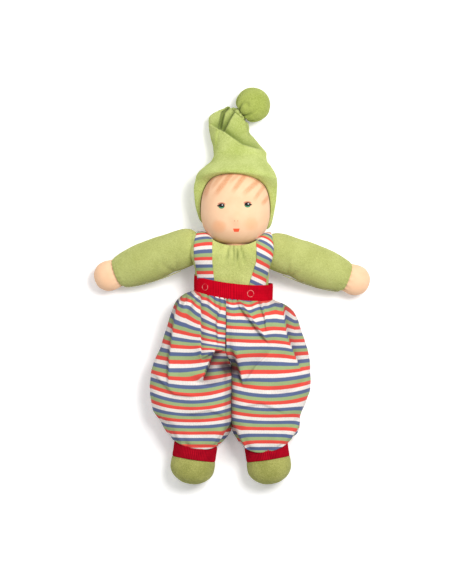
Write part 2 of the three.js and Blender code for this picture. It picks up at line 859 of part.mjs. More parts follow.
// The hem hangs square to the splayed leg, as the cuff does
function squareToLeg(points, drop, side) {
  const middle = hipShift + side * (hipSpan / 2 + drop * legSplayShare);
  points.forEach((point) => {
    point.y += side * ankleTilt(drop) * (point.x - middle);
  });
}

// Just below the crotch a leg is no fuller than the seat it grows out of
function keepUnderSeat(points, along, left, right, low, high) {
  const weight = 1 - THREE.MathUtils.smoothstep(along, crotchAlong, crotchAlong + seatBlendAlong);
  const middle = (low + high) / 2;
  points.forEach((point) => {
    const across = Math.abs(2 * point.x - left - right) / (right - left);
    const room = ((high - low) / 2) * Math.max(1 - across ** trouserBulge, 0) ** (1 / trouserBulge);
    const rise = Math.abs(point.z - middle);
    const kept = THREE.MathUtils.lerp(rise, Math.min(rise, room), weight);
    point.z = middle + Math.sign(point.z - middle) * kept;
  });
}

const crotchAlong = (trouserTopY - crotchY) / trouserLength;
const upperStations = [0, 0.018, 0.05, 0.085, 0.14, 0.2, 0.28, 0.35, 0.42, crotchAlong];
const lowerStations = [crotchAlong, 0.53, 0.59, 0.65, 0.72, 0.79, 0.84, 0.88, 0.93, 0.965, 0.985, 1];

function upperForm(inset) {
  const rings = upperStations.map((along) => trouserRing(along, inset, 0, inset > 0 ? 16 : 30));
  if (inset > 0) {
    rings.unshift(rings[0].map((point) => point.clone().setY(point.y + ribWall)));
  }
  rings.push(trouserRing(crotchAlong + tuckAlong, inset + tuckDepth, 0, inset > 0 ? 16 : 30));
  return loft(rings);
}

function lowerForm(inset, side) {
  const rings = lowerStations.map((along) => trouserRing(along, inset, side, inset > 0 ? 12 : 30));
  if (inset > 0) {
    rings.push(rings.at(-1).map((point) => point.clone().setY(point.y - ribWall)));
  }
  rings.unshift(trouserRing(crotchAlong - tuckAlong, inset + tuckDepth, side, inset > 0 ? 12 : 30));
  return loft(rings);
}

// The side of the centre seam that one trouser half keeps
function seamSide(side) {
  const far = side * 3 * cutOverrun;
  const gap = (side * fitGap) / 2;
  const outline = new THREE.Shape([
    new THREE.Vector2(waistSeamX + gap, cutOverrun),
    new THREE.Vector2(waistSeamX + gap, leanFadeY),
    new THREE.Vector2(crotchX + gap, crotchY),
    new THREE.Vector2(crotchX + gap, -4 * cutOverrun),
    new THREE.Vector2(far, -4 * cutOverrun),
    new THREE.Vector2(far, cutOverrun),
  ]);
  const geometry = new THREE.ExtrudeGeometry(outline, { depth: 2 * trouserDepth, bevelEnabled: false });
  return toSolid(geometry);
}

function trouserHalf(side) {
  const outer = upperForm(0).add(lowerForm(0, side));
  const hollow = upperForm(trouserWall).add(lowerForm(trouserWall, side));
  return outer.subtract(hollow).intersect(seamSide(side));
}

// Straps: from behind the waistband's front, over the shoulder, to behind its back
function strapInnerX(side, share) {
  const low = side === leftSide ? strapLeftLowX : strapRightLowX;
  const top = side === leftSide ? strapLeftTopX : strapRightTopX;
  const front = THREE.MathUtils.lerp(low, top, Math.min(share * 3, 1));
  return side * THREE.MathUtils.lerp(front, strapBackX, Math.max(share * 3 - 2, 0));
}

// A place above the body on a ray out of the strap's turning axis
function reachOut(x, angle, above) {
  let near = 0;
  let far = torsoDepth;
  for (let i = 0; i < 24; i++) {
    const middle = (near + far) / 2;
    if (insideBody(x, strapTurnY + middle * Math.cos(angle), strapTurnZ + middle * Math.sin(angle), above)) {
      near = middle;
    } else {
      far = middle;
    }
  }
  return new THREE.Vector3(x, strapTurnY + near * Math.cos(angle), strapTurnZ + near * Math.sin(angle));
}

// A place of the strap at a share of its way, that far above the body
function strapPlace(x, share, above) {
  const third = share * 3;
  if (third < 1) {
    const y = THREE.MathUtils.lerp(strapFrontEnd(Math.sign(x)), strapTurnY, third);
    return new THREE.Vector3(x, y, bodySurface(x, y, 1, above));
  }
  if (third > 2) {
    const y = THREE.MathUtils.lerp(strapTurnY, strapBackEndY, third - 2);
    return new THREE.Vector3(x, y, bodySurface(x, y, -1, above));
  }
  return reachOut(x, THREE.MathUtils.lerp(Math.PI / 2, -Math.PI / 2, third - 1), above);
}

// The front end reaches just past its snap
const strapFrontEnd = (side) => snapPlaces[side === leftSide ? 0 : 1].point.y - strapTail;

// The places across the strap, stepped along the body's surface from its inner edge
function strapRow(side, share) {
  const step = strapWidth / strapAcross;
  const nudge = side * fitGap;
  let x = strapInnerX(side, share);
  const under = [];
  const over = [];
  for (let i = 0; i <= strapAcross; i++) {
    under.push(strapPlace(x, share, strapGap));
    over.unshift(strapPlace(x, share, strapGap + strapWall));
    for (let k = 0; k < 8; k++) {
      const ahead = strapPlace(x + nudge, share, strapGap).sub(strapPlace(x, share, strapGap));
      x += (nudge * step) / 8 / ahead.length();
    }
  }
  return [...under, ...over];
}

function strap(side) {
  const shares = strapStepsByThird.flatMap((steps, third) => (
    Array.from({ length: steps }, (_, k) => (third + k / steps) / 3)
  ));
  return loft([...shares, 1].map((share) => strapRow(side, share)));
}

const bodyUnderStraps = torsoForm(-fitGap, 20)
  .subtract(headRoom(chinGap - fitGap))
  .subtract(snapDent(-fitGap))
  .add(headRoom(2 * fitGap));

// Snap fasteners: a pronged ring and socket on the waistband, a stud and pronged ring on the strap
const prongedRing = (prong) => turned([
  [snapCollarRadius - snapCollarWall, -prong],
  [snapCollarRadius, -prong],
  [snapCollarRadius, 0],
  [snapRadius, 0],
  [snapRadius, snapFlange],
  [snapCollarRadius - snapCollarWall, snapFlange],
  [snapCollarRadius - snapCollarWall, -prong],
], 12);
const snapSocket = turned([
  [snapCollarRadius + fitGap, -snapSocketHeight],
  [snapRadius, -snapSocketHeight],
  [snapRadius, 0],
  [snapCollarRadius + fitGap, 0],
  [snapCollarRadius + fitGap, -snapSocketHeight],
], 12);
const snapPostRadius = snapCollarRadius - snapCollarWall - fitGap;
const snapStud = (post) => turned([
  [0, 0],
  [snapRadius, 0],
  [snapRadius, snapStudHeight],
  [snapPostRadius, snapStudHeight],
  [snapPostRadius, post],
  [0, post],
], 12);
const backProng = strapWall + fitGap + snapSettle;

function snapPieces(side, label) {
  const snap = snapPlaces[side === leftSide ? 0 : 1];
  const depth = strapDepth(snap);
  const turnedOver = prongedRing(backProng).rotate([180, 0, 0]);
  const post = depth - snapSettle - ribWall - 2 * fitGap;
  return [
    piece(`${label}_snap_ring`, onSnap(prongedRing(ribWall + fitGap), snap, -fitGap), steel),
    piece(`${label}_snap_socket`, onSnap(snapSocket, snap, ribWall + 2 * fitGap), steel),
    piece(`${label}_snap_stud`, onSnap(snapStud(post), snap, depth - snapSettle), steel),
    piece(`${label}_snap_back_ring`, onSnap(turnedOver, snap, depth + strapWall + snapSettle), steel),
  ];
}

// Hole for the prongs and flats for the flanges, pressed into a strap's end
function snapStrapRoom(side) {
  const snap = snapPlaces[side === leftSide ? 0 : 1];
  const flat = snapRadius + fitGap;
  const above = snapSettle - fitGap;
  const room = tube(collarHole, -3 * strapWall, 3 * strapWall, 12)
    .add(tube(flat, above, 3 * strapWall, 12))
    .add(tube(flat, -3 * strapWall, -strapWall - above, 12));
  return onSnap(room, snap, strapDepth(snap));
}

// Hat body: columns are along from nape to crown end, half width, back, front and sideways shift
const hatShares = [
  [0, 0.875, -0.0075, 0.99, 0],
  [0.17, 0.89, -0.0075, 1, 0],
  [0.31, 0.935, -0.0075, 1, 0],
  [0.44, 0.98, -0.0075, 0.98, 0],
  [0.57, 1, -0.0075, 0.95, 0],
  [0.69, 0.975, 0.01, 0.94, 0.01],
  [0.77, 0.915, 0.02, 0.86, 0.015],
  [0.845, 0.79, 0.02, 0.74, 0.03],
  [0.91, 0.67, 0.015, 0.62, 0.045],
  [1, 0.64, 0.01, 0.49, 0.06],
];

// Hollow of the hat, along the same length: half width, back, front
const hatHollowShares = [
  [-0.2, 1, 0, 1],
  [0.32, 1, 0, 1],
  [0.44, 0.965, 0.0175, 0.9825],
  [0.56, 0.88, 0.06, 0.94],
  [0.665, 0.725, 0.138, 0.862],
  [0.74, 0.59, 0.2, 0.79],
  [0.805, 0.51, 0.23, 0.72],
  [0.88, 0.44, 0.21, 0.62],
  [0.95, 0.31, 0.22, 0.5],
  [1.02, 0.1, 0.26, 0.36],
];

// Tail: each row is the left and right edge, then back and front, as shares of its width and depth
const tailShares = [
  [-0.36, 0, 0.64, 0, 0.01, 1.05],
  [-0.37, 0.06, 0.632, 0.035, 0.01, 1],
  [-0.4, 0.3, 0.41, 0.3, 0.01, 0.9],
  [-0.47, 0.56, 0.28, 0.38, 0.02, 0.8],
  [-0.42, 0.71, 0.28, 0.49, 0.04, 0.72],
  [-0.29, 0.83, 0.25, 0.57, 0.08, 0.68],
  [-0.14, 0.88, 0.17, 0.62, 0.16, 0.66],
];

const pompomPlace = new THREE.Vector3(pompomX, pompomY, pompomZ);
const tailMiddle = new THREE.Vector2(headX, hatCrownY);
const tieAim = new THREE.Vector3(0.8, 0.6, 0.08).normalize();
const tiePlace = pompomPlace.clone().addScaledVector(tieAim, -tieSetback);
const hatLength = hatCrownY - hatBottomY;

function tailRing(row, count) {
  const left = new THREE.Vector2(headX + row[0] * tailWidth, hatCrownY + row[1] * tailWidth);
  const right = new THREE.Vector2(headX + row[2] * tailWidth, hatCrownY + row[3] * tailWidth);
  const low = row[4] * tailDepth;
  const high = row[5] * tailDepth;
  return ring(0, -1, 1, low, high, tailBulge, count).map((point) => {
    const place = left.clone().lerp(right, (point.x + 1) / 2);
    return liftFold(new THREE.Vector3(place.x, place.y, point.z), (low + high) / 2);
  });
}

// The crown's cloth steps up in front of a fold that runs from the left corner to the right edge
const foldFrom = new THREE.Vector2(...foldStartShare).multiplyScalar(tailWidth).add(tailMiddle);
const foldTo = new THREE.Vector2(...foldEndShare).multiplyScalar(tailWidth).add(tailMiddle);

function liftFold(point, middle) {
  const run = foldTo.clone().sub(foldFrom).normalize();
  const past = (point.x - foldFrom.x) * -run.y + (point.y - foldFrom.y) * run.x;
  const share = THREE.MathUtils.smoothstep(-past, -foldSoftness, foldSoftness);
  if (point.z > middle) {
    point.z += foldStep * (share - 0.5);
  }
  return point;
}

function tieRing(radius, setback, count) {
  const side = new THREE.Vector3(-tieAim.y, tieAim.x, 0).normalize();
  const up = tieAim.clone().cross(side).negate();
  const centre = tiePlace.clone().addScaledVector(tieAim, -setback);
  return ring(0, -radius, radius, -radius, radius, roundBulge, count).map((point) => (
    centre.clone().addScaledVector(side, -point.x).addScaledVector(up, -point.z)
  ));
}

function hatOuter() {
  const rings = stations(hatShares).map((along) => {
    const [, width, back, front, shift] = readShares(hatShares, along);
    const half = (width * hatBodyWidth) / 2;
    const x = headX + shift * hatBodyWidth;
    const y = hatBottomY + along * hatLength;
    return ring(y, x - half, x + half, back * hatBodyDepth, front * hatBodyDepth, hatBulge, 24);
  });
  const tail = tailShares.map((row) => tailRing(row, 24));
  tail.push(tieRing(tailEndRadius + 1, 2 * tailEndSetback + 2 * threadRadius, 24));
  tail.push(tieRing(tailEndRadius, tailEndSetback, 24));
  return loft([...rings, ...tail.slice(1)]);
}

function hatHollow() {
  const inner = headRadius + hatFitGap;
  const rings = stations(hatHollowShares).map((along) => {
    const [, width, back, front] = readShares(hatHollowShares, along);
    const half = width * inner;
    const low = headZ - inner + back * 2 * inner;
    const high = headZ - inner + front * 2 * inner;
    return ring(hatBottomY + along * hatLength, headX - half, headX + half, low, high, roundBulge, 24);
  });
  return loft(rings);
}

// Everything in front of the rim, which slopes from the forehead down to the nape
function rimCut() {
  const reach = 3 * cutOverrun;
  const geometry = new THREE.BoxGeometry(2 * reach, reach, 2 * reach).translate(0, -reach / 2, 0);
  geometry.rotateX(-Math.atan(hatRimSlope)).rotateZ(Math.atan(hatRimLean));
  return toSolid(geometry.translate(headX, hatRimY, headZ));
}

// The nape's hem ends above the shoulders, so that the head can turn
const belowNape = slab(-3 * cutOverrun, 3 * cutOverrun, -cutOverrun, hatNapeY, -cutOverrun, 3 * cutOverrun);
const belowFloor = slab(-4 * cutOverrun, 4 * cutOverrun, -6 * cutOverrun, 6 * cutOverrun, -cutOverrun, 0);
const tieRoom = ball(pompomNeckRadius + fitGap, tiePlace.x, tiePlace.y, tiePlace.z, 16);
const hat = hatOuter()
  .subtract(hatHollow())
  .subtract(rimCut())
  .subtract(belowNape)
  .subtract(belowFloor)
  .subtract(tieRoom);

// Sets something turned about Y onto the tie's axis
function onTie(solid, setback) {
  const turn = new THREE.Quaternion().setFromUnitVectors(new THREE.Vector3(0, 1, 0), tieAim);
  const place = tiePlace.clone().addScaledVector(tieAim, -setback);
  return solid.transform(new THREE.Matrix4().compose(place, turn, new THREE.Vector3(1, 1, 1)).toArray());
}

const hatTieMajor = tailEndRadius + 2 * fitGap + threadRadius;
const hatTie = onTie(torus(hatTieMajor, threadRadius), tailEndSetback + threadRadius);
const dentPlace = tiePlace.clone().addScaledVector(tieAim, -pompomDentSetback);
const pompomBall = (inset, steps) => ball(pompomRadius - inset, pompomX, pompomY, pompomZ, steps);
const pompomDent = (inset) => ball(pompomDentRadius + inset, dentPlace.x, dentPlace.y, dentPlace.z, 16);
const pompomCover = pompomBall(0, 16)
  .subtract(pompomDent(0))
  .add(ball(pompomNeckRadius, tiePlace.x, tiePlace.y, tiePlace.z, 14))
  .add(onTie(tube(pompomStemRadius, 0, pompomDentRadius - pompomDentSetback + velourWall, 12), 0))
  .subtract(pompomBall(velourWall, 12).subtract(pompomDent(2 * velourWall + pompomNeckRadius)))
  .subtract(belowFloor);
const gatherHole = onTie(tube(pompomNeckRadius / 3, -cutOverrun, pompomRadius, 12), 0);
const pompomStuffing = pompomBall(velourWall + fitGap, 12)
  .subtract(pompomDent(2 * velourWall + pompomNeckRadius + fitGap));

// Assembly
const doll = new THREE.Group();
doll.add(piece('torso_cover', torsoCover, velour));
doll.add(piece('torso_stuffing', torsoStuffing, wool));
doll.add(piece('head_core', headCore, wool));
doll.add(piece('head_skin', headSkin, skin));
doll.add(piece('eye_line_tie', eyeLineTie, thread));
doll.add(piece('neck_tie', neckTie, thread));
for (const [side, label] of [[leftSide, 'left'], [rightSide, 'right']]) {
  doll.add(arm(side, label));
  doll.add(leg(side, label));
  doll.add(piece(`${label}_trouser_half`, trouserHalf(side).subtract(belowFloor), stripes));
  const fitted = strap(side).subtract(snapStrapRoom(side)).subtract(bodyUnderStraps);
  doll.add(piece(`${label}_strap`, fitted, stripes));
  snapPieces(side, label).forEach((snap) => doll.add(snap));
}
doll.add(piece('waistband', waistband, redRib));
doll.add(piece('hat', hat, velour));
doll.add(piece('hat_tie', hatTie, thread));
doll.add(piece('pompom', pompomCover.subtract(gatherHole), velour));
doll.add(piece('pompom_stuffing', pompomStuffing, wool));

// The origin lies under the middle of the whole doll
doll.updateMatrixWorld(true);
const extents = new THREE.Box3().setFromObject(doll, true);
const middle = extents.getCenter(new THREE.Vector3());
doll.position.set(-middle.x, -middle.y, -extents.min.z);

export default doll;
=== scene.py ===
"""Looks of a soft stuffed doll with a bobble hat and bloomers on straps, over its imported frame."""

import logging
from collections.abc import Callable, Iterable, Sequence
from dataclasses import dataclass, field
from enum import Enum
from functools import cached_property
from math import acos, atan2, copysign, cos, exp, hypot, inf, pi, radians, sin, sqrt, tan
from typing import Any

import bmesh
import bpy
from mathutils import Matrix, Vector, noise
from mathutils.bvhtree import BVHTree


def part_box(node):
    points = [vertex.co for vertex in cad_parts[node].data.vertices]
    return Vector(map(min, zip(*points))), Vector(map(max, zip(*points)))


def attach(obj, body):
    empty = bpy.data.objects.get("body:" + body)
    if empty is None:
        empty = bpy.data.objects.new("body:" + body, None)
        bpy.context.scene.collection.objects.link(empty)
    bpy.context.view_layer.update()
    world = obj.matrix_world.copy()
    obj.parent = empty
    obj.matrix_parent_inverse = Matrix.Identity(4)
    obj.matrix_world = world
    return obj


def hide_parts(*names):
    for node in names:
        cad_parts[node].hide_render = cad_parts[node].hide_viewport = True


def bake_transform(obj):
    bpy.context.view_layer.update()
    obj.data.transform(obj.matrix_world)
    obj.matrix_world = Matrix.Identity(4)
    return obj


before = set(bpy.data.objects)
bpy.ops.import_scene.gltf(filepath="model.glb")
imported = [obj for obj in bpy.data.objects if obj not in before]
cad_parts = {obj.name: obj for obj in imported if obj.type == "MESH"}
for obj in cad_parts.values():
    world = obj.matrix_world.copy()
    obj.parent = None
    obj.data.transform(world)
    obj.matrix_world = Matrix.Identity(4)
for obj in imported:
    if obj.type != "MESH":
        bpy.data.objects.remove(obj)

logger = logging.getLogger("doll")

MM = 0.001
PER_METRE = 1000
Mesh = bmesh.types.BMesh
Object = bpy.types.Object
Material = bpy.types.Material
Cells = tuple[int, int]
Pair = tuple[float, float]
Triple = tuple[float, float, float]
Color = Triple
Place = Callable[[float, float], Vector]
Shares = Sequence[Sequence[float]]


class Side(Enum):
    """The doll's two sides as seen from above."""

    LEFT = -1
    RIGHT = 1

    @property
    def label(self) -> str:
        """The side's word in node names."""
        return self.name.lower()


class Stripe(Enum):
    """The jersey's stripe colours, in their order down the cloth, in sRGB."""

    RED = (233, 74, 62)
    WHITE = (240, 234, 228)
    BLUE = (86, 104, 146)
    GREEN = (158, 180, 124)


# Small helpers

def linear(red: float, green: float, blue: float) -> tuple[float, float, float, float]:
    """Turn an sRGB colour of 0 to 255 into the linear colour that a socket takes."""
    shares = (value / 255 for value in (red, green, blue))
    return (*(one / 12.92 if one <= 0.04045 else ((one + 0.055) / 1.055) ** 2.4 for one in shares), 1.0)


def lerp(first: float, second: float, share: float) -> float:
    """Read the value a share of the way from one number to another."""
    return first + (second - first) * share


def clamp(value: float, low: float = 0.0, high: float = 1.0) -> float:
    """Keep a number between two limits."""
    return max(low, min(high, value))


def smoothstep(value: float, low: float, high: float) -> float:
    """Rise smoothly from 0 at one limit to 1 at the other."""
    share = clamp((value - low) / (high - low))
    return share * share * (3 - 2 * share)


def bell(distance: float, width: float) -> float:
    """Fall smoothly from 1 at no distance."""
    return exp(-((distance / width) ** 2))


def read_shares(table: Shares, along: float) -> list[float]:
    """Read a table of shares smoothly at a place along it.

    Args:
        table: Rows whose first column is the place along the piece.
        along: The place to read.

    Returns:
        The row there, without overshoot between the given rows.
    """
    last = len(table) - 1
    row = 0
    while row < last - 1 and along > table[row + 1][0]:
        row += 1
    start, end = table[row], table[row + 1]
    before, after = table[max(row - 1, 0)], table[min(row + 2, last)]
    width = end[0] - start[0]
    share = clamp((along - start[0]) / width)
    square, cube = share**2, share**3
    out = []
    for column, value in enumerate(start):
        rise = end[column] - value
        lead = value - before[column]
        tail = after[column] - end[column]
        slope_in = (end[column] - before[column]) * width / (end[0] - before[0]) if lead * rise > 0 else 0
        slope_out = (after[column] - value) * width / (after[0] - start[0]) if tail * rise > 0 else 0
        out.append((2 * cube - 3 * square + 1) * value + (cube - 2 * square + share) * slope_in
                   + (3 * square - 2 * cube) * end[column] + (cube - square) * slope_out)
    return out


def rounded(angle: float, bulge: float) -> Pair:
    """Give the point at an angle on a unit circle, or on a squarer form where bulge is over 2."""
    c, s = cos(angle), sin(angle)
    return (copysign(abs(c) ** (2 / bulge), c), copysign(abs(s) ** (2 / bulge), s))


def even(angle: float, bulge: float) -> float:
    """Give the angle that spaces a rounded ring's points evenly, with arguments as for rounded."""
    across, up = cos(angle), sin(angle)
    return atan2(copysign(abs(up) ** (bulge / 2), up), copysign(abs(across) ** (bulge / 2), across))


def pile(point: Vector, size: float, seed: float) -> float:
    """Give smooth noise of -1 to 1 at a point, with lumps of a size and a seed for each piece."""
    return noise.noise(point / size + Vector((seed, seed * 2, seed * 3)))


@dataclass(frozen=True)
class Crease:
    """A fold in cloth seen from above: raised on one side of a path, pressed in on the other.

    The raised side lies to the left of the way along the path. It rises by height and falls off over
    reach. The pressed side sinks by dip times height, over hollow. The step between them is as wide as
    sharp. The cloth's pattern slips by shift on the raised side and by kink at the path.
    """

    path: tuple[Pair, ...]
    height: float
    reach: float
    sharp: float = 0.7
    dip: float = 0.5
    hollow: float = 3.0
    shift: float = 0.0
    kink: float = 0.0

    @cached_property
    def legs(self) -> list[tuple[Vector, Vector, float, float]]:
        """Each straight part's start, way, length and length gone before it."""
        legs = []
        gone = 0.0
        for first, second in zip(self.path, self.path[1:]):
            run = Vector(second) - Vector(first)
            legs.append((Vector(first), run.normalized(), run.length, gone))
            gone += run.length
        return legs

    def locate(self, x: float, y: float) -> Pair:
        """Find a place against the path.

        Args:
            x: Across the doll, in millimetres.
            y: Along the doll, in millimetres.

        Returns:
            The distance to the left of the path, and the share of the way along it.
        """
        best = (inf, 0.0, 0.0)
        last = len(self.legs) - 1
        total = self.legs[-1][2] + self.legs[-1][3]
        for index, (start, way, length, gone) in enumerate(self.legs):
            to_x, to_y = x - start.x, y - start.y
            run = to_x * way.x + to_y * way.y
            off = way.x * to_y - way.y * to_x
            beyond = max(-run if index else 0, run - length if index < last else 0, 0)
            reach = hypot(off, beyond)
            if reach < best[0]:
                best = (reach, copysign(reach, off), (gone + run) / total)
        return best[1], best[2]

    def weight(self, x: float, y: float) -> Triple:
        """Give the raised side's share, the pressed side's share and the share right at the path.

        Args:
            x: Across the doll.
            y: Along the doll.

        Returns:
            The three shares, which fade out at the path's ends.
        """
        off, along = self.locate(x, y)
        if abs(off) > 4 * self.reach:
            return 0.0, 0.0, 0.0
        fade = smoothstep(along, -0.1, 0.16) * (1 - smoothstep(along, 0.84, 1.1))
        step = 1 / (1 + exp(-clamp(off / self.sharp * 4, -40, 40)))
        raised = step * exp(-max(off, 0) / self.reach) * fade
        pressed = (1 - step) * exp(-max(-off, 0) / self.hollow) * fade
        return raised, pressed, exp(-abs(off) / self.reach) * fade

    def lift(self, x: float, y: float) -> float:
        """Give how far the cloth rises at a place, in millimetres."""
        raised, pressed, _ = self.weight(x, y)
        return self.height * (raised - self.dip * pressed)

    def slip(self, x: float, y: float) -> float:
        """Give how far the cloth's pattern slips along the doll at a place, in millimetres."""
        raised, _, near = self.weight(x, y) if self.shift or self.kink else (0.0, 0.0, 0.0)
        return self.shift * raised + self.kink * near


def lifted(creases: Iterable[Crease], x: float, y: float) -> float:
    """Give how far some creases raise the cloth at a place, in millimetres."""
    return sum(crease.lift(x, y) for crease in creases)


def pressed(creases: Iterable[Crease], x: float, y: float) -> float:
    """Give how far some creases press the cloth in at a place, in millimetres."""
    return sum(crease.weight(x, y)[1] * crease.height for crease in creases)


# Shader maths

class Wire:
    """A shader socket that Python's operators work on."""

    def __init__(self, graph: "Graph", socket: bpy.types.NodeSocket | None) -> None:
        """Wrap a socket of a graph, or nothing after an output node."""
        self.graph = graph
        self.socket = socket

    def maths(self, operation: str, *values: "Wire | float") -> "Wire":
        """Add a Math node with these inputs."""
        return self.graph.node("ShaderNodeMath", {"operation": operation}, dict(enumerate(values)))

    def __add__(self, other: "Wire | float") -> "Wire":
        """Add."""
        return self.maths("ADD", self, other)

    def __radd__(self, other: float) -> "Wire":
        """Add to a number."""
        return self.maths("ADD", other, self)

    def __sub__(self, other: "Wire | float") -> "Wire":
        """Subtract."""
        return self.maths("SUBTRACT", self, other)

    def __rsub__(self, other: float) -> "Wire":
        """Subtract from a number."""
        return self.maths("SUBTRACT", other, self)

    def __mul__(self, other: "Wire | float") -> "Wire":
        """Multiply."""
        return self.maths("MULTIPLY", self, other)

    def __rmul__(self, other: float) -> "Wire":
        """Multiply a number."""
        return self.maths("MULTIPLY", other, self)

    def __truediv__(self, other: "Wire | float") -> "Wire":
        """Divide."""
        return self.maths("DIVIDE", self, other)

    def __pow__(self, other: float) -> "Wire":
        """Raise to a power."""
        return self.maths("POWER", self, other)

    def __abs__(self) -> "Wire":
        """Drop the sign."""
        return self.maths("ABSOLUTE", self)

    def most(self, other: "Wire | float") -> "Wire":
        """Take the larger."""
        return self.maths("MAXIMUM", self, other)

    def sine(self) -> "Wire":
        """Take the sine."""
        return self.maths("SINE", self)

    def fraction(self) -> "Wire":
        """Drop the whole part."""
        return self.maths("FRACT", self)

    def between(self, low: float, high: float) -> "Wire":
        """Rise smoothly from 0 to 1 between two limits."""
        settings = {"interpolation_type": "SMOOTHSTEP"}
        return self.graph.node("ShaderNodeMapRange", settings, {0: self, 1: low, 2: high, 3: 0.0, 4: 1.0})

    def below(self, limit: float, soft: float) -> "Wire":
        """Give 1 below a limit and 0 above it, with a soft edge."""
        return 1 - self.between(limit - soft, limit + soft)


class Graph:
    """A material's node tree, written as expressions."""

    def __init__(self, name: str) -> None:
        """Start an empty material.

        Args:
            name: The material's name.
        """
        self.material = bpy.data.materials.new(name)
        self.material.use_nodes = True
        self.tree = self.material.node_tree
        self.tree.nodes.clear()

    def node(self, kind: str, settings: dict[str, Any], inputs: dict[Any, Any], output: Any = 0) -> Wire:
        """Add any node.

        Args:
            kind: The node's type name.
            settings: Its own settings, set first.
            inputs: Values or wires by socket name or number.
            output: The socket to read.

        Returns:
            The wire of that output.
        """
        made = self.tree.nodes.new(kind)
        for key, value in settings.items():
            setattr(made, key, value)
        for key, value in inputs.items():
            if isinstance(value, Wire):
                self.tree.links.new(value.socket, made.inputs[key])
            else:
                made.inputs[key].default_value = value
        return Wire(self, made.outputs[output] if made.outputs else None)

    def split(self, vector: Wire) -> tuple[Wire, Wire, Wire]:
        """Take a vector's three parts."""
        parts = self.node("ShaderNodeSeparateXYZ", {}, {0: vector}).socket.node.outputs
        return Wire(self, parts[0]), Wire(self, parts[1]), Wire(self, parts[2])

    @cached_property
    def place(self) -> Wire:
        """The point on the object, in metres."""
        return self.node("ShaderNodeTexCoord", {}, {}, "Object")

    @cached_property
    def axes(self) -> tuple[Wire, Wire, Wire]:
        """The point's three coordinates in millimetres."""
        x, y, z = self.split(self.place)
        return x * PER_METRE, y * PER_METRE, z * PER_METRE

    @cached_property
    def cloth(self) -> tuple[Wire, Wire]:
        """The cloth's own coordinates across and along it, in millimetres."""
        across, along, _ = self.split(self.node("ShaderNodeUVMap", {"uv_map": "cloth"}, {}, "UV"))
        return across * PER_METRE, along * PER_METRE

    @cached_property
    def folds(self) -> Wire:
        """How deep the point lies in a fold, from 0 to 1."""
        return self.split(self.node("ShaderNodeUVMap", {"uv_map": "folds"}, {}, "UV"))[0].between(0.0, 1.0)

    def grain(self, size: float, detail: float = 2.0) -> Wire:
        """Give noise of about 0 to 1 whose lumps are of a size in millimetres."""
        inputs = {"Vector": self.place, "Scale": PER_METRE / size, "Detail": detail}
        return self.node("ShaderNodeTexNoise", {}, inputs)

    def mix(self, factor: "Wire | float", first: Any, second: Any) -> Wire:
        """Blend two colours."""
        return self.node("ShaderNodeMix", {"data_type": "RGBA"}, {0: factor, 6: first, 7: second}, 2)

    def bump(self, height: Wire, strength: float, distance: float) -> Wire:
        """Turn a height into a normal."""
        inputs = {"Height": height, "Strength": strength, "Distance": distance * MM}
        return self.node("ShaderNodeBump", {}, inputs)

    def surface(self, **inputs: Any) -> Material:
        """Finish the material with these sockets, named with underscores, of a Principled shader."""
        named = {key.replace("_", " "): value for key, value in inputs.items()}
        return self.close(self.node("ShaderNodeBsdfPrincipled", {}, named))

    def close(self, shader: Wire) -> Material:
        """Send a shader to the material's output."""
        self.node("ShaderNodeOutputMaterial", {}, {"Surface": shader})
        return self.material

    def wave(self, value: Wire, period: float) -> Wire:
        """Give a wave of -1 to 1 with a period in the value's own unit."""
        return (value * (2 * pi / period)).sine()


# Finishes

@dataclass(frozen=True)
class Velour:
    """Green cotton velour with a short pile that lies this way and that."""

    name: str = "velour_green"
    light: Color = (197, 203, 127)
    deep: Color = (172, 178, 101)
    patch: float = 18.0
    fuzz: float = 0.6
    relief: float = 0.5
    tuft: float = 1.5
    shadow: Color = (84, 104, 34)
    sheen: Color = (225, 232, 170)

    def paint(self) -> Material:
        """Build the material.

        Returns:
            The material.
        """
        graph = Graph(self.name)
        lay = graph.grain(self.patch).between(0.25, 0.75)
        tuft = graph.grain(self.tuft).between(0.3, 0.72)
        fuzz = graph.grain(self.fuzz, 3.0).between(0.25, 0.75)
        shade = (lay * 0.3 + tuft * 0.22 + fuzz * 0.48).between(0.1, 0.9)
        color = graph.mix(shade, linear(*self.deep), linear(*self.light))
        color = graph.mix(graph.folds * 0.7, color, linear(*self.shadow))
        height = fuzz * 0.6 + tuft * 0.4
        return graph.surface(
            Base_Color=color, Roughness=0.95, Normal=graph.bump(height, 0.9, self.relief),
            Sheen_Weight=0.35, Sheen_Roughness=0.45, Sheen_Tint=linear(*self.sheen),
            Specular_IOR_Level=0.15,
        )


@dataclass(frozen=True)
class SkinJersey:
    """Fine skin-coloured cotton jersey, with its knit just visible."""

    name: str = "skin_jersey"
    color: Color = (249, 205, 167)
    warm: Color = (238, 188, 146)
    course: float = 0.75
    wale: float = 0.62

    def knit(self, graph: Graph) -> tuple[Wire, Wire]:
        """Give the cloth's colour and normal.

        Args:
            graph: The material.

        Returns:
            The colour and the normal.
        """
        x, y, _ = graph.axes
        rows = graph.wave(y, self.course) * graph.wave(x, self.wale)
        mottle = graph.grain(9.0).between(0.3, 0.75)
        color = graph.mix(mottle * 0.4, linear(*self.color), linear(*self.warm))
        normal = graph.bump(rows * 0.5 + graph.grain(0.5), 0.25, 0.12)
        return color, normal

    def paint(self) -> Material:
        """Build the material."""
        graph = Graph(self.name)
        return self.cover(graph, *self.knit(graph))

    def cover(self, graph: Graph, color: Wire, normal: Wire) -> Material:
        """Finish the cloth with this colour and normal."""
        return graph.surface(Base_Color=color, Roughness=0.85, Normal=normal, Specular_IOR_Level=0.2,
                             Sheen_Weight=0.15, Sheen_Roughness=0.5)


@dataclass(frozen=True)
class Stroke:
    """A soft brushed strand of hair, from its root under the hat to its tip."""

    root: Pair
    tip: Pair
    width: float = 2.0
    strength: float = 0.6


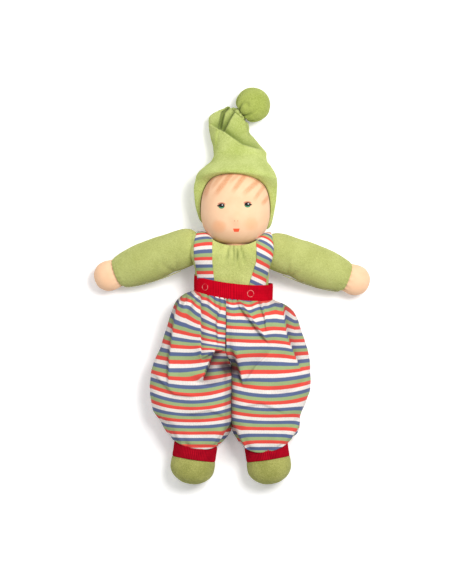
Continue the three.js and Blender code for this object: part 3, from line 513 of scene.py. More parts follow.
@dataclass(frozen=True)
class FacePaint(SkinJersey):
    """Skin with a brushed fringe, eyes, blush, nose and mouth painted on it."""

    name: str = "face_jersey"
    hair: Color = (214, 140, 92)
    chin_shade: Color = (222, 150, 100)
    rim_shade: Color = (202, 128, 74)
    blush: Color = (250, 160, 96)
    nostril: Color = (190, 110, 84)
    lips: Color = (244, 92, 56)
    lid: Color = (176, 84, 66)
    corner: Color = (52, 30, 30)
    outline: Color = (30, 62, 44)
    iris: Color = (70, 148, 108)
    lash: Color = (30, 18, 24)
    glint: Color = (240, 240, 240)
    chin: Pair = (38.5, 6.0)
    eyes: tuple[tuple[float, float, int], ...] = ((-9.4, 70.6, -1), (13.7, 71.6, 1))
    blushes: tuple[Triple, ...] = ((-11.8, 52.2, 0.8), (16.6, 54.4, 0.6))
    nostrils: Pair = (2.2, 5.0)
    nose_y: float = 57.2
    rim: Triple = (3.0, 83.4, 33.8)
    rim_rise: float = 0.86
    rim_lean: float = 0.12
    mouth_x: float = 3.8
    mouth_y: float = 49.0
    strokes: tuple[Stroke, ...] = (
        Stroke((-2, 98), (-17, 78), 2.3, 0.75), Stroke((-8, 99), (-21, 84), 1.8, 0.5),
        Stroke((-19, 95), (-26, 76), 2.4, 0.75), Stroke((12, 99), (-1, 81), 2.2, 0.75),
        Stroke((6, 99), (-4, 90), 1.6, 0.4), Stroke((23, 93), (9, 80), 2.2, 0.7),
        Stroke((28, 88), (19, 75), 1.7, 0.6), Stroke((33, 80), (26, 71), 1.8, 0.7),
    )

    def spot(self, graph: Graph, x: float, y: float, wide: float, tall: float, soft: float) -> Wire:
        """Give an oval mask on the face, in millimetres."""
        across, along, _ = graph.axes
        return (((across - x) / wide) ** 2 + ((along - y) / tall) ** 2).below(1.0, soft)

    def strand(self, graph: Graph, stroke: Stroke) -> Wire:
        """Give the mask of one strand.

        Args:
            graph: The material.
            stroke: The strand.

        Returns:
            The mask.
        """
        across, along, _ = graph.axes
        run = Vector(stroke.tip) - Vector(stroke.root)
        way = run.normalized()
        gone = ((across - stroke.root[0]) * way.x + (along - stroke.root[1]) * way.y) / run.length
        off = (across - stroke.root[0]) * -way.y + (along - stroke.root[1]) * way.x
        body = (abs(off) / (stroke.width * 1.5)).below(0.62, 0.42)
        return body * gone.below(0.82, 0.25) * stroke.strength

    def eye(self, graph: Graph, skin: Wire, x: float, y: float, outer: int) -> Wire:
        """Paint one eye over the skin.

        Args:
            graph: The material.
            skin: The colour under it.
            x: The eye's middle across, in millimetres.
            y: The eye's middle along, in millimetres.
            outer: 1 where its outer corner lies to the right, or -1.

        Returns:
            The colour with the eye.
        """
        lid = self.spot(graph, x, y + 1.6, 3.4, 1.6, 0.35) * 0.7
        color = graph.mix(lid, skin, linear(*self.lid))
        for off_x, off_y, wide, tall, soft, paint in (
            (outer * 2.6, 0.1, 1.4, 0.7, 0.35, self.corner), (0, -0.2, 2.8, 2.3, 0.25, self.outline),
            (0, -0.8, 2.2, 1.5, 0.35, self.iris), (0.1, 0.5, 2.5, 1.7, 0.25, self.lash),
        ):
            color = graph.mix(self.spot(graph, x + off_x, y + off_y, wide, tall, soft), color, linear(*paint))
        glint = self.spot(graph, x + 0.8, y + 0.8, 0.6, 0.5, 0.4) * 0.85
        return graph.mix(glint, color, linear(*self.glint))

    def brush(self, graph: Graph, skin: Wire) -> Wire:
        """Brush the fringe over the skin, and the shade where the hat's rim lies on it.

        Args:
            graph: The material.
            skin: The colour under it.

        Returns:
            The colour with both.
        """
        across, along, up = graph.axes
        streaks = graph.grain(1.0).between(0.25, 0.7)
        strands = self.strand(graph, self.strokes[0])
        for stroke in self.strokes[1:]:
            strands = strands.most(self.strand(graph, stroke))
        color = graph.mix(strands * (0.55 + streaks * 0.45), skin, linear(*self.hair))
        color = graph.mix(along.below(*self.chin) * 0.4, color, linear(*self.chin_shade))
        rim_x, rim_y, rim_z = self.rim
        rim = abs(along - rim_y - (up - rim_z) * self.rim_rise + (across - rim_x) * self.rim_lean)
        return graph.mix(rim.below(1.1, 0.9) * (0.35 + streaks * 0.4), color, linear(*self.rim_shade))

    def mouth(self, graph: Graph) -> Wire:
        """Give the mask of the mouth, which is wider at its top.

        Args:
            graph: The material.

        Returns:
            The mask.
        """
        across, along, _ = graph.axes
        wide = 2.0 + (along - self.mouth_y + 1.5) * 0.34
        sides = (abs(across - self.mouth_x) - wide).below(0.0, 0.25)
        return sides * (abs(along - self.mouth_y) - 1.45).below(0.0, 0.25)

    def paint(self) -> Material:
        """Build the material.

        Returns:
            The material.
        """
        graph = Graph(self.name)
        skin, normal = self.knit(graph)
        color = self.brush(graph, skin)
        for x, y, strength in self.blushes:
            blush = self.spot(graph, x, y, 5.8, 5.2, 0.98) * strength
            color = graph.mix(blush * 0.46, color, linear(*self.blush))
        for x, y, outer in self.eyes:
            color = self.eye(graph, color, x, y, outer)
        for x in self.nostrils:
            nostril = self.spot(graph, x, self.nose_y, 0.42, 0.42, 0.4) * 0.8
            color = graph.mix(nostril, color, linear(*self.nostril))
        return self.cover(graph, graph.mix(self.mouth(graph), color, linear(*self.lips)), normal)


@dataclass(frozen=True)
class RibKnit:
    """Crimson rib knit; its ribs are in the mesh, its stitches in the relief, and painted shade darkens the
    grooves between the ribs.
    """

    name: str = "rib_crimson"
    color: Color = (204, 3, 32)
    deep: Color = (158, 0, 22)
    rib: float = 1.41
    stitch: float = 0.9

    def paint(self) -> Material:
        """Build the material.

        Returns:
            The material.
        """
        graph = Graph(self.name)
        across, along = graph.cloth
        stitch = graph.wave(along, self.stitch) * 0.5 + 0.5
        groove = (across * (2 * pi / self.rib) - pi / 2).sine() * 0.5 + 0.5
        wear = graph.grain(7.0, 3.0).between(0.3, 0.75)
        # Painted shade: the grooves between the ribs are mixed towards deep, along with random wear and the
        # stitch rows.
        color = graph.mix(wear * 0.35 + stitch * 0.1 + groove * 0.55, linear(*self.color), linear(*self.deep))
        height = stitch * 0.5 + graph.grain(0.5) * 0.5
        return graph.surface(Base_Color=color, Roughness=0.85, Normal=graph.bump(height, 0.5, 0.2),
                             Specular_IOR_Level=0.06)


@dataclass(frozen=True)
class StripedJersey:
    """Jersey knitted in four even stripes along the cloth."""

    name: str = "striped_jersey"
    stripe: float = 3.27
    edge: float = 0.18
    wale: float = 0.8
    course: float = 0.55
    heathered: Color = (128, 110, 104)
    shadow: Color = (66, 42, 52)

    @property
    def period(self) -> float:
        """The stripes' repeat along the cloth, in millimetres."""
        return len(Stripe) * self.stripe

    def paint(self) -> Material:
        """Build the material.

        Returns:
            The material.
        """
        graph = Graph(self.name)
        across, along = graph.cloth
        wobble = (graph.grain(2.2) - 0.5) * 0.35
        turn = ((along + wobble) / self.period).fraction() * len(Stripe)
        color: Any = linear(*Stripe.RED.value)
        for index, stripe in enumerate((Stripe.WHITE, Stripe.BLUE, Stripe.GREEN, Stripe.RED), start=1):
            edge = turn.between(index - self.edge / 2, index + self.edge / 2)
            color = graph.mix(edge, color, linear(*stripe.value))
        wale = graph.wave(across, self.wale) * 0.5 + 0.5
        course = graph.wave(along, self.course) * 0.5 + 0.5
        heather = graph.grain(0.9, 3.0).between(0.35, 0.75)
        color = graph.mix(heather * 0.16 + wale * 0.08, color, linear(*self.heathered))
        color = graph.mix(graph.folds * 0.85, color, linear(*self.shadow))
        height = wale * 0.6 + course * 0.3 + graph.grain(0.5) * 0.3
        return graph.surface(Base_Color=color, Roughness=0.88, Normal=graph.bump(height, 0.5, 0.16),
                             Specular_IOR_Level=0.18, Sheen_Weight=0.08, Sheen_Roughness=0.5)


@dataclass(frozen=True)
class Wool:
    """Carded wool stuffing."""

    name: str = "wool_stuffing"
    light: Color = (242, 236, 220)
    deep: Color = (214, 202, 176)

    def paint(self) -> Material:
        """Build the material.

        Returns:
            The material.
        """
        graph = Graph(self.name)
        curl = graph.grain(3.0, 5.0)
        color = graph.mix(curl.between(0.3, 0.7), linear(*self.deep), linear(*self.light))
        return graph.surface(Base_Color=color, Roughness=1.0, Normal=graph.bump(curl, 0.8, 1.0))


@dataclass(frozen=True)
class Thread:
    """Twisted sewing thread."""

    name: str = "thread_pale"
    color: Color = (196, 202, 132)
    deep: Color = (150, 158, 84)
    twist: float = 0.9

    def paint(self) -> Material:
        """Build the material.

        Returns:
            The material.
        """
        graph = Graph(self.name)
        x, y, z = graph.axes
        twist = graph.wave(x + y * 1.4 + z * 0.7, self.twist) * 0.5 + 0.5
        color = graph.mix(twist * 0.7 + graph.grain(0.6) * 0.3, linear(*self.deep), linear(*self.color))
        return graph.surface(Base_Color=color, Roughness=0.8, Normal=graph.bump(twist, 0.6, 0.25))


@dataclass(frozen=True)
class SnapSteel:
    """Plated steel of the snaps, with fine scratches."""

    name: str = "snap_steel"
    light: Color = (228, 226, 226)
    deep: Color = (206, 204, 206)

    def paint(self) -> Material:
        """Build the material.

        Returns:
            The material.
        """
        graph = Graph(self.name)
        scratch = graph.grain(0.7, 4.0)
        color = graph.mix(scratch.between(0.4, 0.7), linear(*self.deep), linear(*self.light))
        return graph.surface(Base_Color=color, Metallic=1.0, Roughness=scratch * 0.25 + 0.18,
                             Normal=graph.bump(scratch, 0.2, 0.05))


@dataclass(frozen=True)
class SnapUnderRib:
    """The red ring of a snap under the rib knit, with patches of painted highlight where it glints through.
    """

    name: str = "snap_under_rib"
    light: Color = (222, 128, 122)
    deep: Color = (196, 20, 42)

    def paint(self) -> Material:
        """Build the material.

        Returns:
            The material.
        """
        graph = Graph(self.name)
        cover = graph.grain(2.2).between(0.42, 0.62)
        # Painted highlight: where cover rises, the red ring turns pale pink, while Metallic also rises and
        # Roughness falls there.
        color = graph.mix(cover, linear(*self.deep), linear(*self.light))
        return graph.surface(Base_Color=color, Roughness=0.6 - cover * 0.2, Metallic=cover * 0.4,
                             Normal=graph.bump(cover, 0.3, 0.1))


# Meshes

def enter(name: str, data: bpy.types.ID) -> Object:
    """Put a new object with this data in the scene.

    Args:
        name: The object's name.
        data: Its mesh, light or camera.

    Returns:
        The object.
    """
    made = bpy.data.objects.new(name, data)
    bpy.context.scene.collection.objects.link(made)
    return made


@dataclass
class Bench:
    """Places meshes in the frame and dresses them.

    The anchor is the right hip's place in the doll's own drawing. A cut is the share of its rectangle
    that a sheet fills, and lead is the number of periods that keep a pattern's coordinate positive.
    """

    anchor: Vector = field(default_factory=lambda: Vector((19.5, -69.8, 20.0)))
    finishes: dict[str, Material] = field(default_factory=dict)
    cut: float = 0.92
    lead: int = 40

    @cached_property
    def shift(self) -> Vector:
        """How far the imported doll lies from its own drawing, in millimetres."""
        low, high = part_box("right_hip_seam")
        return (low + high) / (2 * MM) - self.anchor

    def finish(self, kind: Any) -> Material:
        """Give a finish's material, built once."""
        return self.finishes.get(kind.name) or self.finishes.setdefault(kind.name, kind.paint())

    def wrap(self, across: int, along: int, place: Place, flat: Pair) -> Mesh:
        """Lay a grid of cloth over a form and join the edges that meet.

        Args:
            across: Cells across the cloth.
            along: Cells along the cloth.
            place: Gives the point in millimetres at two shares of the cloth.
            flat: The cloth's size in millimetres, which its own coordinates use.

        Returns:
            The mesh, in millimetres.
        """
        mesh = bmesh.new()
        bmesh.ops.create_grid(mesh, x_segments=across, y_segments=along, size=0.5)
        span = [-2 * min(vert.co[axis] for vert in mesh.verts) for axis in (0, 1)]
        layer = mesh.loops.layers.uv.new("cloth")
        mesh.loops.layers.uv.new("folds")
        for face in mesh.faces:
            for loop in face.loops:
                share = loop.vert.co.x / span[0] + 0.5, loop.vert.co.y / span[1] + 0.5
                loop[layer].uv = share[0] * flat[0] * MM, share[1] * flat[1] * MM
        for vert in mesh.verts:
            vert.co = place(vert.co.x / span[0] + 0.5, vert.co.y / span[1] + 0.5)
        self.close(mesh)
        return mesh

    def close(self, mesh: Mesh) -> None:
        """Join what meets and turn all faces outwards."""
        bmesh.ops.remove_doubles(mesh, verts=mesh.verts, dist=0.01)
        bmesh.ops.recalc_face_normals(mesh, faces=mesh.faces)

    def slide(self, mesh: Mesh, pattern: Callable[[Vector], float], period: float) -> None:
        """Set each corner's coordinate along the cloth from its place.

        Args:
            mesh: The mesh, in millimetres.
            pattern: Gives the coordinate along the cloth at a point, in millimetres.
            period: The pattern's repeat, which keeps the coordinate positive.
        """
        layer = mesh.loops.layers.uv["cloth"]
        for face in mesh.faces:
            for loop in face.loops:
                loop[layer].uv.y = (pattern(loop.vert.co) + self.lead * period) * MM

    def fold(self, mesh: Mesh, depth: Callable[[Vector], float]) -> None:
        """Note how deep each corner lies in a fold, which the finish reads.

        Args:
            mesh: The mesh, in millimetres.
            depth: Gives the depth at a point, from 0 to 1.
        """
        layer = mesh.loops.layers.uv["folds"]
        for vert in mesh.verts:
            share = clamp(depth(vert.co))
            for loop in vert.link_loops:
                loop[layer].uv = share, 0

    def make(self, name: str, mesh: Mesh, finish: Any,
             matrix: Matrix | None = None) -> Object:
        """Turn a mesh in millimetres into a dressed object in the frame.

        Args:
            name: The piece's name.
            mesh: Its mesh, which is freed.
            finish: Its finish.
            matrix: Where its own frame lies on the doll, in millimetres.

        Returns:
            The object, at the origin.
        """
        place = Matrix.Translation(self.shift) @ (matrix or Matrix.Identity(4))
        bmesh.ops.transform(mesh, matrix=Matrix.Scale(MM, 4) @ place, verts=mesh.verts)
        if place.determinant() < 0:
            bmesh.ops.recalc_face_normals(mesh, faces=mesh.faces)
        data = bpy.data.meshes.new(name)
        mesh.to_mesh(data)
        mesh.free()
        data.shade_smooth()
        data.materials.append(self.finish(finish))
        made = enter(name, data)
        logger.info("made %s: %d faces", name, len(data.polygons))
        return made

    def wall(self, made: Object, thickness: float) -> None:
        """Give a sheet its thickness inwards, in millimetres."""
        solid = made.modifiers.new("thickness", "SOLIDIFY")
        solid.thickness, solid.offset = thickness * MM, -1

    def area(self, made: Object) -> float:
        """Give a sheet's area in square metres."""
        return sum(face.area for face in made.data.polygons)

    def declare(self, made: Object, shape: float) -> None:
        """Work out the width that a sheet of cloth was cut to, from its area; nothing keeps it.

        Args:
            made: The sheet.
            shape: Its cut's length for a width of 1.
        """
        area = self.area(made)
        width = sqrt(area / self.cut / shape)

    def doubled(self, made: Object, flat: Pair) -> None:
        """Work out the area of a doubled band of rib knit, whose closed mesh has two faces, up to its flat
        size; nothing keeps it.
        """
        area = min(self.area(made) / 2, flat[0] * flat[1])

    def dress(self, finish: Any, names: Iterable[str]) -> None:
        """Give carried-over nodes a finish.

        Args:
            finish: The finish.
            names: The nodes' names.
        """
        for name in names:
            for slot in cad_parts[name].material_slots:
                slot.link = "OBJECT"
                slot.material = self.finish(finish)


def ring_point(y: float, left: float, right: float, low: float, high: float, angle: float,
               bulge: float) -> Vector:
    """Give a point on a cross section at y between its four edges, at an angle from the right one."""
    across, up = rounded(angle, bulge)
    return Vector(((left + right) / 2 + (right - left) / 2 * across, y,
                   (low + high) / 2 + (high - low) / 2 * up))


@dataclass
class Head:
    """Jersey head on its tied neck; its sizes also shape the torso's dish and the hat."""

    radius: float = 31.0
    crown: float = 37.0
    x: float = 3.0
    y: float = 66.6
    z: float = 33.8
    neck: float = 10.5
    neck_depth: float = 13.5
    pivot_drop: float = 33.6
    eye_rise: float = 5.6
    eye_dip: float = 0.8
    nose_drop: float = 8.6
    nose_height: float = 1.3
    nose: Triple = (0.6, 3.6, 4.2)
    eye_tall: float = 5
    cheek: Triple = (14, 53, 9)
    cheek_height: float = 0.5
    neck_share: float = 0.14
    neck_start: float = 0.6
    face_half: float = 22.0
    bulge: float = 2.35
    cells: Cells = (128, 96)
    flat: Pair = (195, 120)

    def reach(self, y: float) -> float:
        """Give the head's radius at a place along the doll."""
        share = min(abs(y - self.y) / (self.crown if y > self.y else self.radius), 1)
        return self.radius * (1 - share**self.bulge) ** (1 / self.bulge)

    def outline(self, across: float, along: float) -> float:
        """Give the head's reach from its middle in a direction below the eye line.

        Args:
            across: The direction's part across.
            along: Its part along the doll.

        Returns:
            The reach, in millimetres.
        """
        length = max(hypot(across, along), 1e-6)
        total = (abs(across) / length) ** self.bulge + (abs(along) / length) ** self.bulge
        return self.radius * total ** (-1 / self.bulge)

    def place(self, u: float, v: float) -> Vector:
        """Give a point of the skin, from the neck's end to the crown.

        Args:
            u: Share round it.
            v: Share along it.

        Returns:
            The point.
        """
        start = acos((self.neck / self.radius) ** (self.bulge / 2))
        if v < self.neck_share:
            share = v / self.neck_share
            radius = self.neck * smoothstep(share, -0.2, 0.2)
            low = self.y - self.pivot_drop - self.neck_depth + self.neck_start
            y = lerp(low, self.y - self.radius * sin(start) ** (2 / self.bulge), share)
        else:
            share = (v - self.neck_share) / (1 - self.neck_share)
            across, along = rounded(lerp(-start, pi / 2, share), self.bulge)
            radius = self.radius * across
            y = self.y + (self.radius if along < 0 else self.crown) * along
        across, up = rounded(2 * pi * u, 2.0)
        point = Vector((self.x + radius * across, y, self.z + radius * up))
        front = clamp((point.z - self.z) / self.radius)
        aside = abs(point.x - self.x) / self.face_half
        eye = exp(-(((point.y - self.y - self.eye_rise) / self.eye_tall) ** 2) - aside**4)
        nose_x, nose_wide, nose_tall = self.nose
        nose = bell(point.x - self.x - nose_x, nose_wide) * bell(point.y - self.y + self.nose_drop, nose_tall)
        cheek_x, cheek_y, reach = self.cheek
        cheeks = sum(bell(point.x - self.x - side * cheek_x, reach) for side in (-1, 1))
        cheeks *= bell(point.y - cheek_y, reach)
        point.z += front * (self.nose_height * nose - self.eye_dip * eye + self.cheek_height * cheeks)
        return point

    def build(self, bench: Bench) -> None:
        """Make the head.

        Args:
            bench: Where it is made.
        """
        mesh = bench.wrap(*self.cells, self.place, self.flat)
        skin = bench.make("head_and_neck", mesh, FacePaint())
        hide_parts("head_skin")
        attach(skin, "head")


@dataclass
class Torso:
    """Velour torso with a dish for the chin, a well for the neck and pleats below them."""

    head: Head
    height: float = 116.0
    width: float = 76.0
    depth: float = 50.5
    bottom: float = -68.2
    back: float = 2.2
    bulge: float = 2.6
    chin_gap: float = 2.0
    chin_slit: float = 0.05
    chin_ease: float = 0.2
    shoulder_bulge: float = 4.6
    nod_stretch: float = 1.15
    well: float = 13.7
    well_depth: float = 16.6
    neck_gap: float = 1.2
    cap: float = 0.04
    pleat_height: float = 1.5
    pleat_count: float = 34
    pleat_limit: float = 40
    fan_y: float = 58
    fan_reach: float = 29
    fan_width: float = 11
    cells: Cells = (144, 150)
    flat: Pair = (190, 120)
    shares: Shares = (
        (0, 0.88, 0.335, 0.37), (0.036, 0.91, 0.26, 0.445), (0.105, 0.95, 0.125, 0.595),
        (0.19, 0.97, 0.04, 0.75), (0.33, 0.95, 0.04, 0.82), (0.48, 0.85, 0.07, 0.84),
        (0.57, 0.86, 0.07, 0.85), (0.66, 0.87, 0.07, 0.9),
        (0.71, 0.88, 0.055, 0.93), (0.76, 0.92, 0.015, 0.965), (0.83, 1, 0, 1), (0.9, 0.99, 0.05, 0.95),
        (0.95, 0.98, 0.12, 0.88), (0.985, 0.93, 0.25, 0.76), (1, 0.74, 0.4, 0.6),
    )

    def place(self, u: float, v: float) -> Vector:
        """Give a point of the velour, from the seat to the neck.

        Args:
            u: Share round it.
            v: Share along it.

        Returns:
            The point.
        """
        along = clamp((v - self.cap) / (1 - 2 * self.cap))
        _, width, back, front = read_shares(self.shares, along)
        shut = smoothstep(v, 0, self.cap) * (1 - smoothstep(v, 1 - self.cap, 1))
        half = width * self.width / 2 * shut
        low, high = self.back + back * self.depth, self.back + front * self.depth
        middle = (low + high) / 2
        bulge = lerp(self.bulge, self.shoulder_bulge, smoothstep(along, 0.62, 0.8))
        point = ring_point(self.bottom + along * self.height, -half, half, lerp(middle, low, shut),
                           lerp(middle, high, shut), even(2 * pi * u, bulge), bulge)
        return self.pleat(self.dish(point))

    def dish(self, point: Vector) -> Vector:
        """Push a point out of the head's room and the neck's.

        Args:
            point: The point, in millimetres.

        Returns:
            The point outside both.
        """
        middle = Vector((self.head.x, self.head.y, self.head.z))
        gone = point - middle
        rise = max(gone.z, 0)
        flat = Vector((gone.x, gone.y, min(gone.z, 0) / self.nod_stretch))
        gap = self.chin_gap if gone.z < 0 else self.chin_slit + self.chin_ease * (rise / 15) ** 2
        room = self.head.outline(hypot(flat.x, flat.z), flat.y) + gap
        if flat.length < room:
            flat *= room / max(flat.length, 1e-6)
        out = middle + Vector((flat.x, flat.y, rise or flat.z * self.nod_stretch))
        floor = self.head.y - self.head.pivot_drop - self.well_depth
        off = hypot(out.x - middle.x, out.z - middle.z)
        if off < self.well and out.y > floor and out.z < middle.z + self.head.neck + self.neck_gap:
            out.y = floor
        return out

    def fan(self, point: Vector) -> float:
        """Give the height, from -1 to 1, of the pleats that fan out below the chin.

        Args:
            point: The point, in millimetres.

        Returns:
            The height.
        """
        x, y = point.x - self.head.x, point.y - self.fan_y
        angle = atan2(x, -y)
        ring = bell(hypot(x, y) - self.fan_reach, self.fan_width)
        return cos(angle * self.pleat_count + 2.2 * sin(angle * 9)) * bell(angle, 0.5) * ring

    def folded(self, point: Vector) -> float:
        """Give how deep a point lies between the pleats."""
        return 0.0 if point.z < self.head.z else -0.8 * self.fan(point)

    def pleat(self, point: Vector) -> Vector:
        """Fan soft pleats out below the chin.

        Args:
            point: The point, in millimetres.

        Returns:
            The point on its pleat.
        """
        if point.z < self.head.z or point.y > self.pleat_limit:
            return point
        fan = self.fan(point)
        point.z += self.pleat_height * fan + 0.5 * pile(point, 9, 4)
        return point

    def build(self, bench: Bench) -> Mesh:
        """Make the torso and give back a copy of its mesh for the straps to lie on.

        Args:
            bench: Where it is made.

        Returns:
            The mesh, in millimetres.
        """
        mesh = bench.wrap(*self.cells, self.place, self.flat)
        under = mesh.copy()
        bench.fold(mesh, self.folded)
        # Painted light: a lighter copy of the sleeves' velour, which lifts the chest where it lies in shade.
        cloth = Velour(name="velour_torso_painted_light", light=(212, 218, 138), deep=(182, 190, 108))
        velour = bench.make("torso_velour", mesh, cloth)
        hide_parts("torso_cover")
        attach(velour, "body")
        return under


@dataclass
class Arm:
    """Velour sleeve with a ball top, a jersey hand and a fuzzy seam along its lower edge."""

    side: Side
    span: float = 98.5
    y: float = 29.0
    z: float = 25.0
    lean: float = 2.3
    slope: float = 20.0
    droop: float = 9.0
    length: float = 59.0
    radius: float = 18.3
    ball: float = 17.6
    ball_bulge: float = 3.4
    ball_end: float = 22.5
    hand_length: float = 27.0
    hand_radius: float = 13.8
    wrist: float = 11.0
    hand_flat: float = 0.88
    tuft: float = 0.7
    tuft_step: float = 1.35
    tuft_first: float = 0.06
    tuft_run: float = 0.92
    taper: float = 0.95
    ball_share: float = 0.3
    plain_share: float = 0.64
    roll_from: float = 0.94
    roll_share: float = 0.06
    roll_in: float = 0.86
    roll_back: float = 3
    gathers: int = 17
    hand_gathers: int = 15
    cells: Cells = (96, 96)
    hand_cells: Cells = (64, 48)
    flat: Pair = (115, 85)
    hand_flat_size: Pair = (80, 27)
    shares: Shares = (
        (0, 0.962, 0.962), (0.12, 0.975, 0.96), (0.35, 1, 0.95), (0.6, 0.97, 0.92), (0.8, 0.89, 0.85),
        (0.93, 0.79, 0.77), (1, 0.68, 0.68),
    )
    hand_shares: Shares = (
        (0, 0.8, 0.8), (0.22, 0.9, 0.88), (0.45, 1, 1), (0.68, 0.93, 0.95), (0.85, 0.7, 0.74),
        (0.95, 0.43, 0.46), (1, 0.02, 0.02),
    )

    @cached_property
    def matrix(self) -> Matrix:
        """The arm's own frame, whose second axis runs along it."""
        sign = self.side.value
        x = sign * self.span / 2
        place = Vector((x, self.y - x * tan(radians(self.lean)), self.z))
        turn = Matrix.Rotation(-sign * (pi / 2 + radians(self.slope)), 4, "Z")
        return Matrix.Translation(place) @ turn @ Matrix.Rotation(-radians(self.droop), 4, "X")

    def skin(self, u: float, along: float) -> Vector:
        """Give a point of the sleeve's plain form, along it in millimetres.

        Args:
            u: Share round it.
            along: The place along it.

        Returns:
            The point.
        """
        angle = 2 * pi * u
        if along < 0:
            share = min(-along / self.ball_end, 1)
            round_off = (1 - share**self.ball_bulge) ** (1 / self.ball_bulge)
            radius = self.ball * round_off * lerp(1, self.taper, share)
            return Vector((radius * cos(angle), along, radius * sin(angle)))
        _, width, thick = read_shares(self.shares, along / self.length)
        return Vector((width * self.radius * cos(angle), along, thick * self.radius * sin(angle)))

    def sleeve(self, u: float, v: float) -> Vector:
        """Give a point of the sleeve, from the ball's pole to the rolled wrist.

        Args:
            u: Share round it.
            v: Share along it.

        Returns:
            The point.
        """
        if v < self.ball_share:
            along = -self.ball_end * rounded(v / self.ball_share * pi / 2, self.ball_bulge)[0]
        else:
            along = min((v - self.ball_share) / self.plain_share, 1) * self.length
        point = self.skin(u, along)
        if v > self.roll_from:
            turn = (v - self.roll_from) / self.roll_share
            point.x *= lerp(1, self.roll_in, turn)
            point.z *= lerp(1, self.roll_in, turn)
            point.y -= self.roll_back * turn**2
        seed = 7.0 + self.side.value
        low = clamp(point.x * self.side.value / self.radius * 1.1 + 0.1)
        front = clamp(point.z / self.ball * 1.5)
        spread = point.x * self.side.value - 14
        crease = bell(point.y - 4 - 0.35 * spread, 1.6) + 0.7 * bell(point.y - 11 + 0.5 * spread, 2.0)
        armpit = bell(point.y - 9, 5) * clamp(point.x * self.side.value / self.radius) ** 4
        gather = cos(u * 2 * pi * self.gathers) * bell(point.y - self.length, 5)
        dent = 1.3 * (crease * low * front) + 1.1 * armpit - 0.3 * gather
        grow = 0.4 * pile(point, 15, seed) + 0.15 * pile(point, 4, seed)
        radial = Vector((point.x, 0, point.z)).normalized()
        return point + radial * (grow - dent) * smoothstep(point.y, -12, -4)

    def hand(self, u: float, v: float) -> Vector:
        """Give a point of the hand, from inside the wrist to its tip.

        Args:
            u: Share round it.
            v: Share along it.

        Returns:
            The point.
        """
        start = self.length - self.wrist / 2
        _, width, thick = read_shares(self.hand_shares, v)
        radius = self.hand_radius * smoothstep(v, -0.02, 0.04)
        angle = 2 * pi * u
        y = start + v * self.hand_length
        gather = 1 - 0.045 * cos(u * 2 * pi * self.hand_gathers) * bell(y - self.length, 3)
        return Vector((width * radius * gather * cos(angle), y,
                       thick * radius * self.hand_flat * gather * sin(angle)))

    def fuzz(self) -> Mesh:
        """Row small tufts along the sleeve's lower seam.

        Returns:
            The tufts' mesh.
        """
        mesh = bmesh.new()
        seam = 0.0 if self.side is Side.RIGHT else 0.5
        for index in range(int(self.length * self.tuft_run / self.tuft_step)):
            along = self.length * self.tuft_first + index * self.tuft_step
            jitter = pile(Vector((along, 0, 0)), 1.3, 5)
            point = self.skin(seam + 0.012 * jitter, along)
            made = bmesh.ops.create_icosphere(mesh, subdivisions=1, radius=self.tuft * (1 + 0.3 * jitter))
            out = Vector((self.side.value * 0.5, 0, 0.5 * jitter))
            lay = Matrix.Translation(point + out) @ Matrix.Diagonal((0.8, 1.3, 0.9, 1))
            bmesh.ops.transform(mesh, matrix=lay, verts=made["verts"])
        return mesh

    def build(self, bench: Bench) -> Mesh:
        """Make the arm and give back its ball for a strap to lie on.

        Args:
            bench: Where it is made.

        Returns:
            The ball's mesh, in the doll's frame.
        """
        label = self.side.label
        mesh = bench.wrap(*self.cells, self.sleeve, self.flat)
        ball = mesh.copy()
        bmesh.ops.transform(ball, matrix=self.matrix, verts=ball.verts)
        sleeve = bench.make(f"{label}_sleeve_velour", mesh, Velour(), self.matrix)
        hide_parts(f"{label}_sleeve")
        mesh = bench.wrap(*self.hand_cells, self.hand, self.hand_flat_size)
        hand = bench.make(f"{label}_hand_jersey", mesh, SkinJersey(), self.matrix)
        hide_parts(f"{label}_hand")
        thread = Thread("seam_fuzz", (218, 216, 160), (178, 182, 112))
        seam = bench.make(f"{label}_sleeve_seam_fuzz", self.fuzz(), thread, self.matrix)
        for piece in (sleeve, hand, seam):
            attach(piece, f"{label}_arm")
        return ball


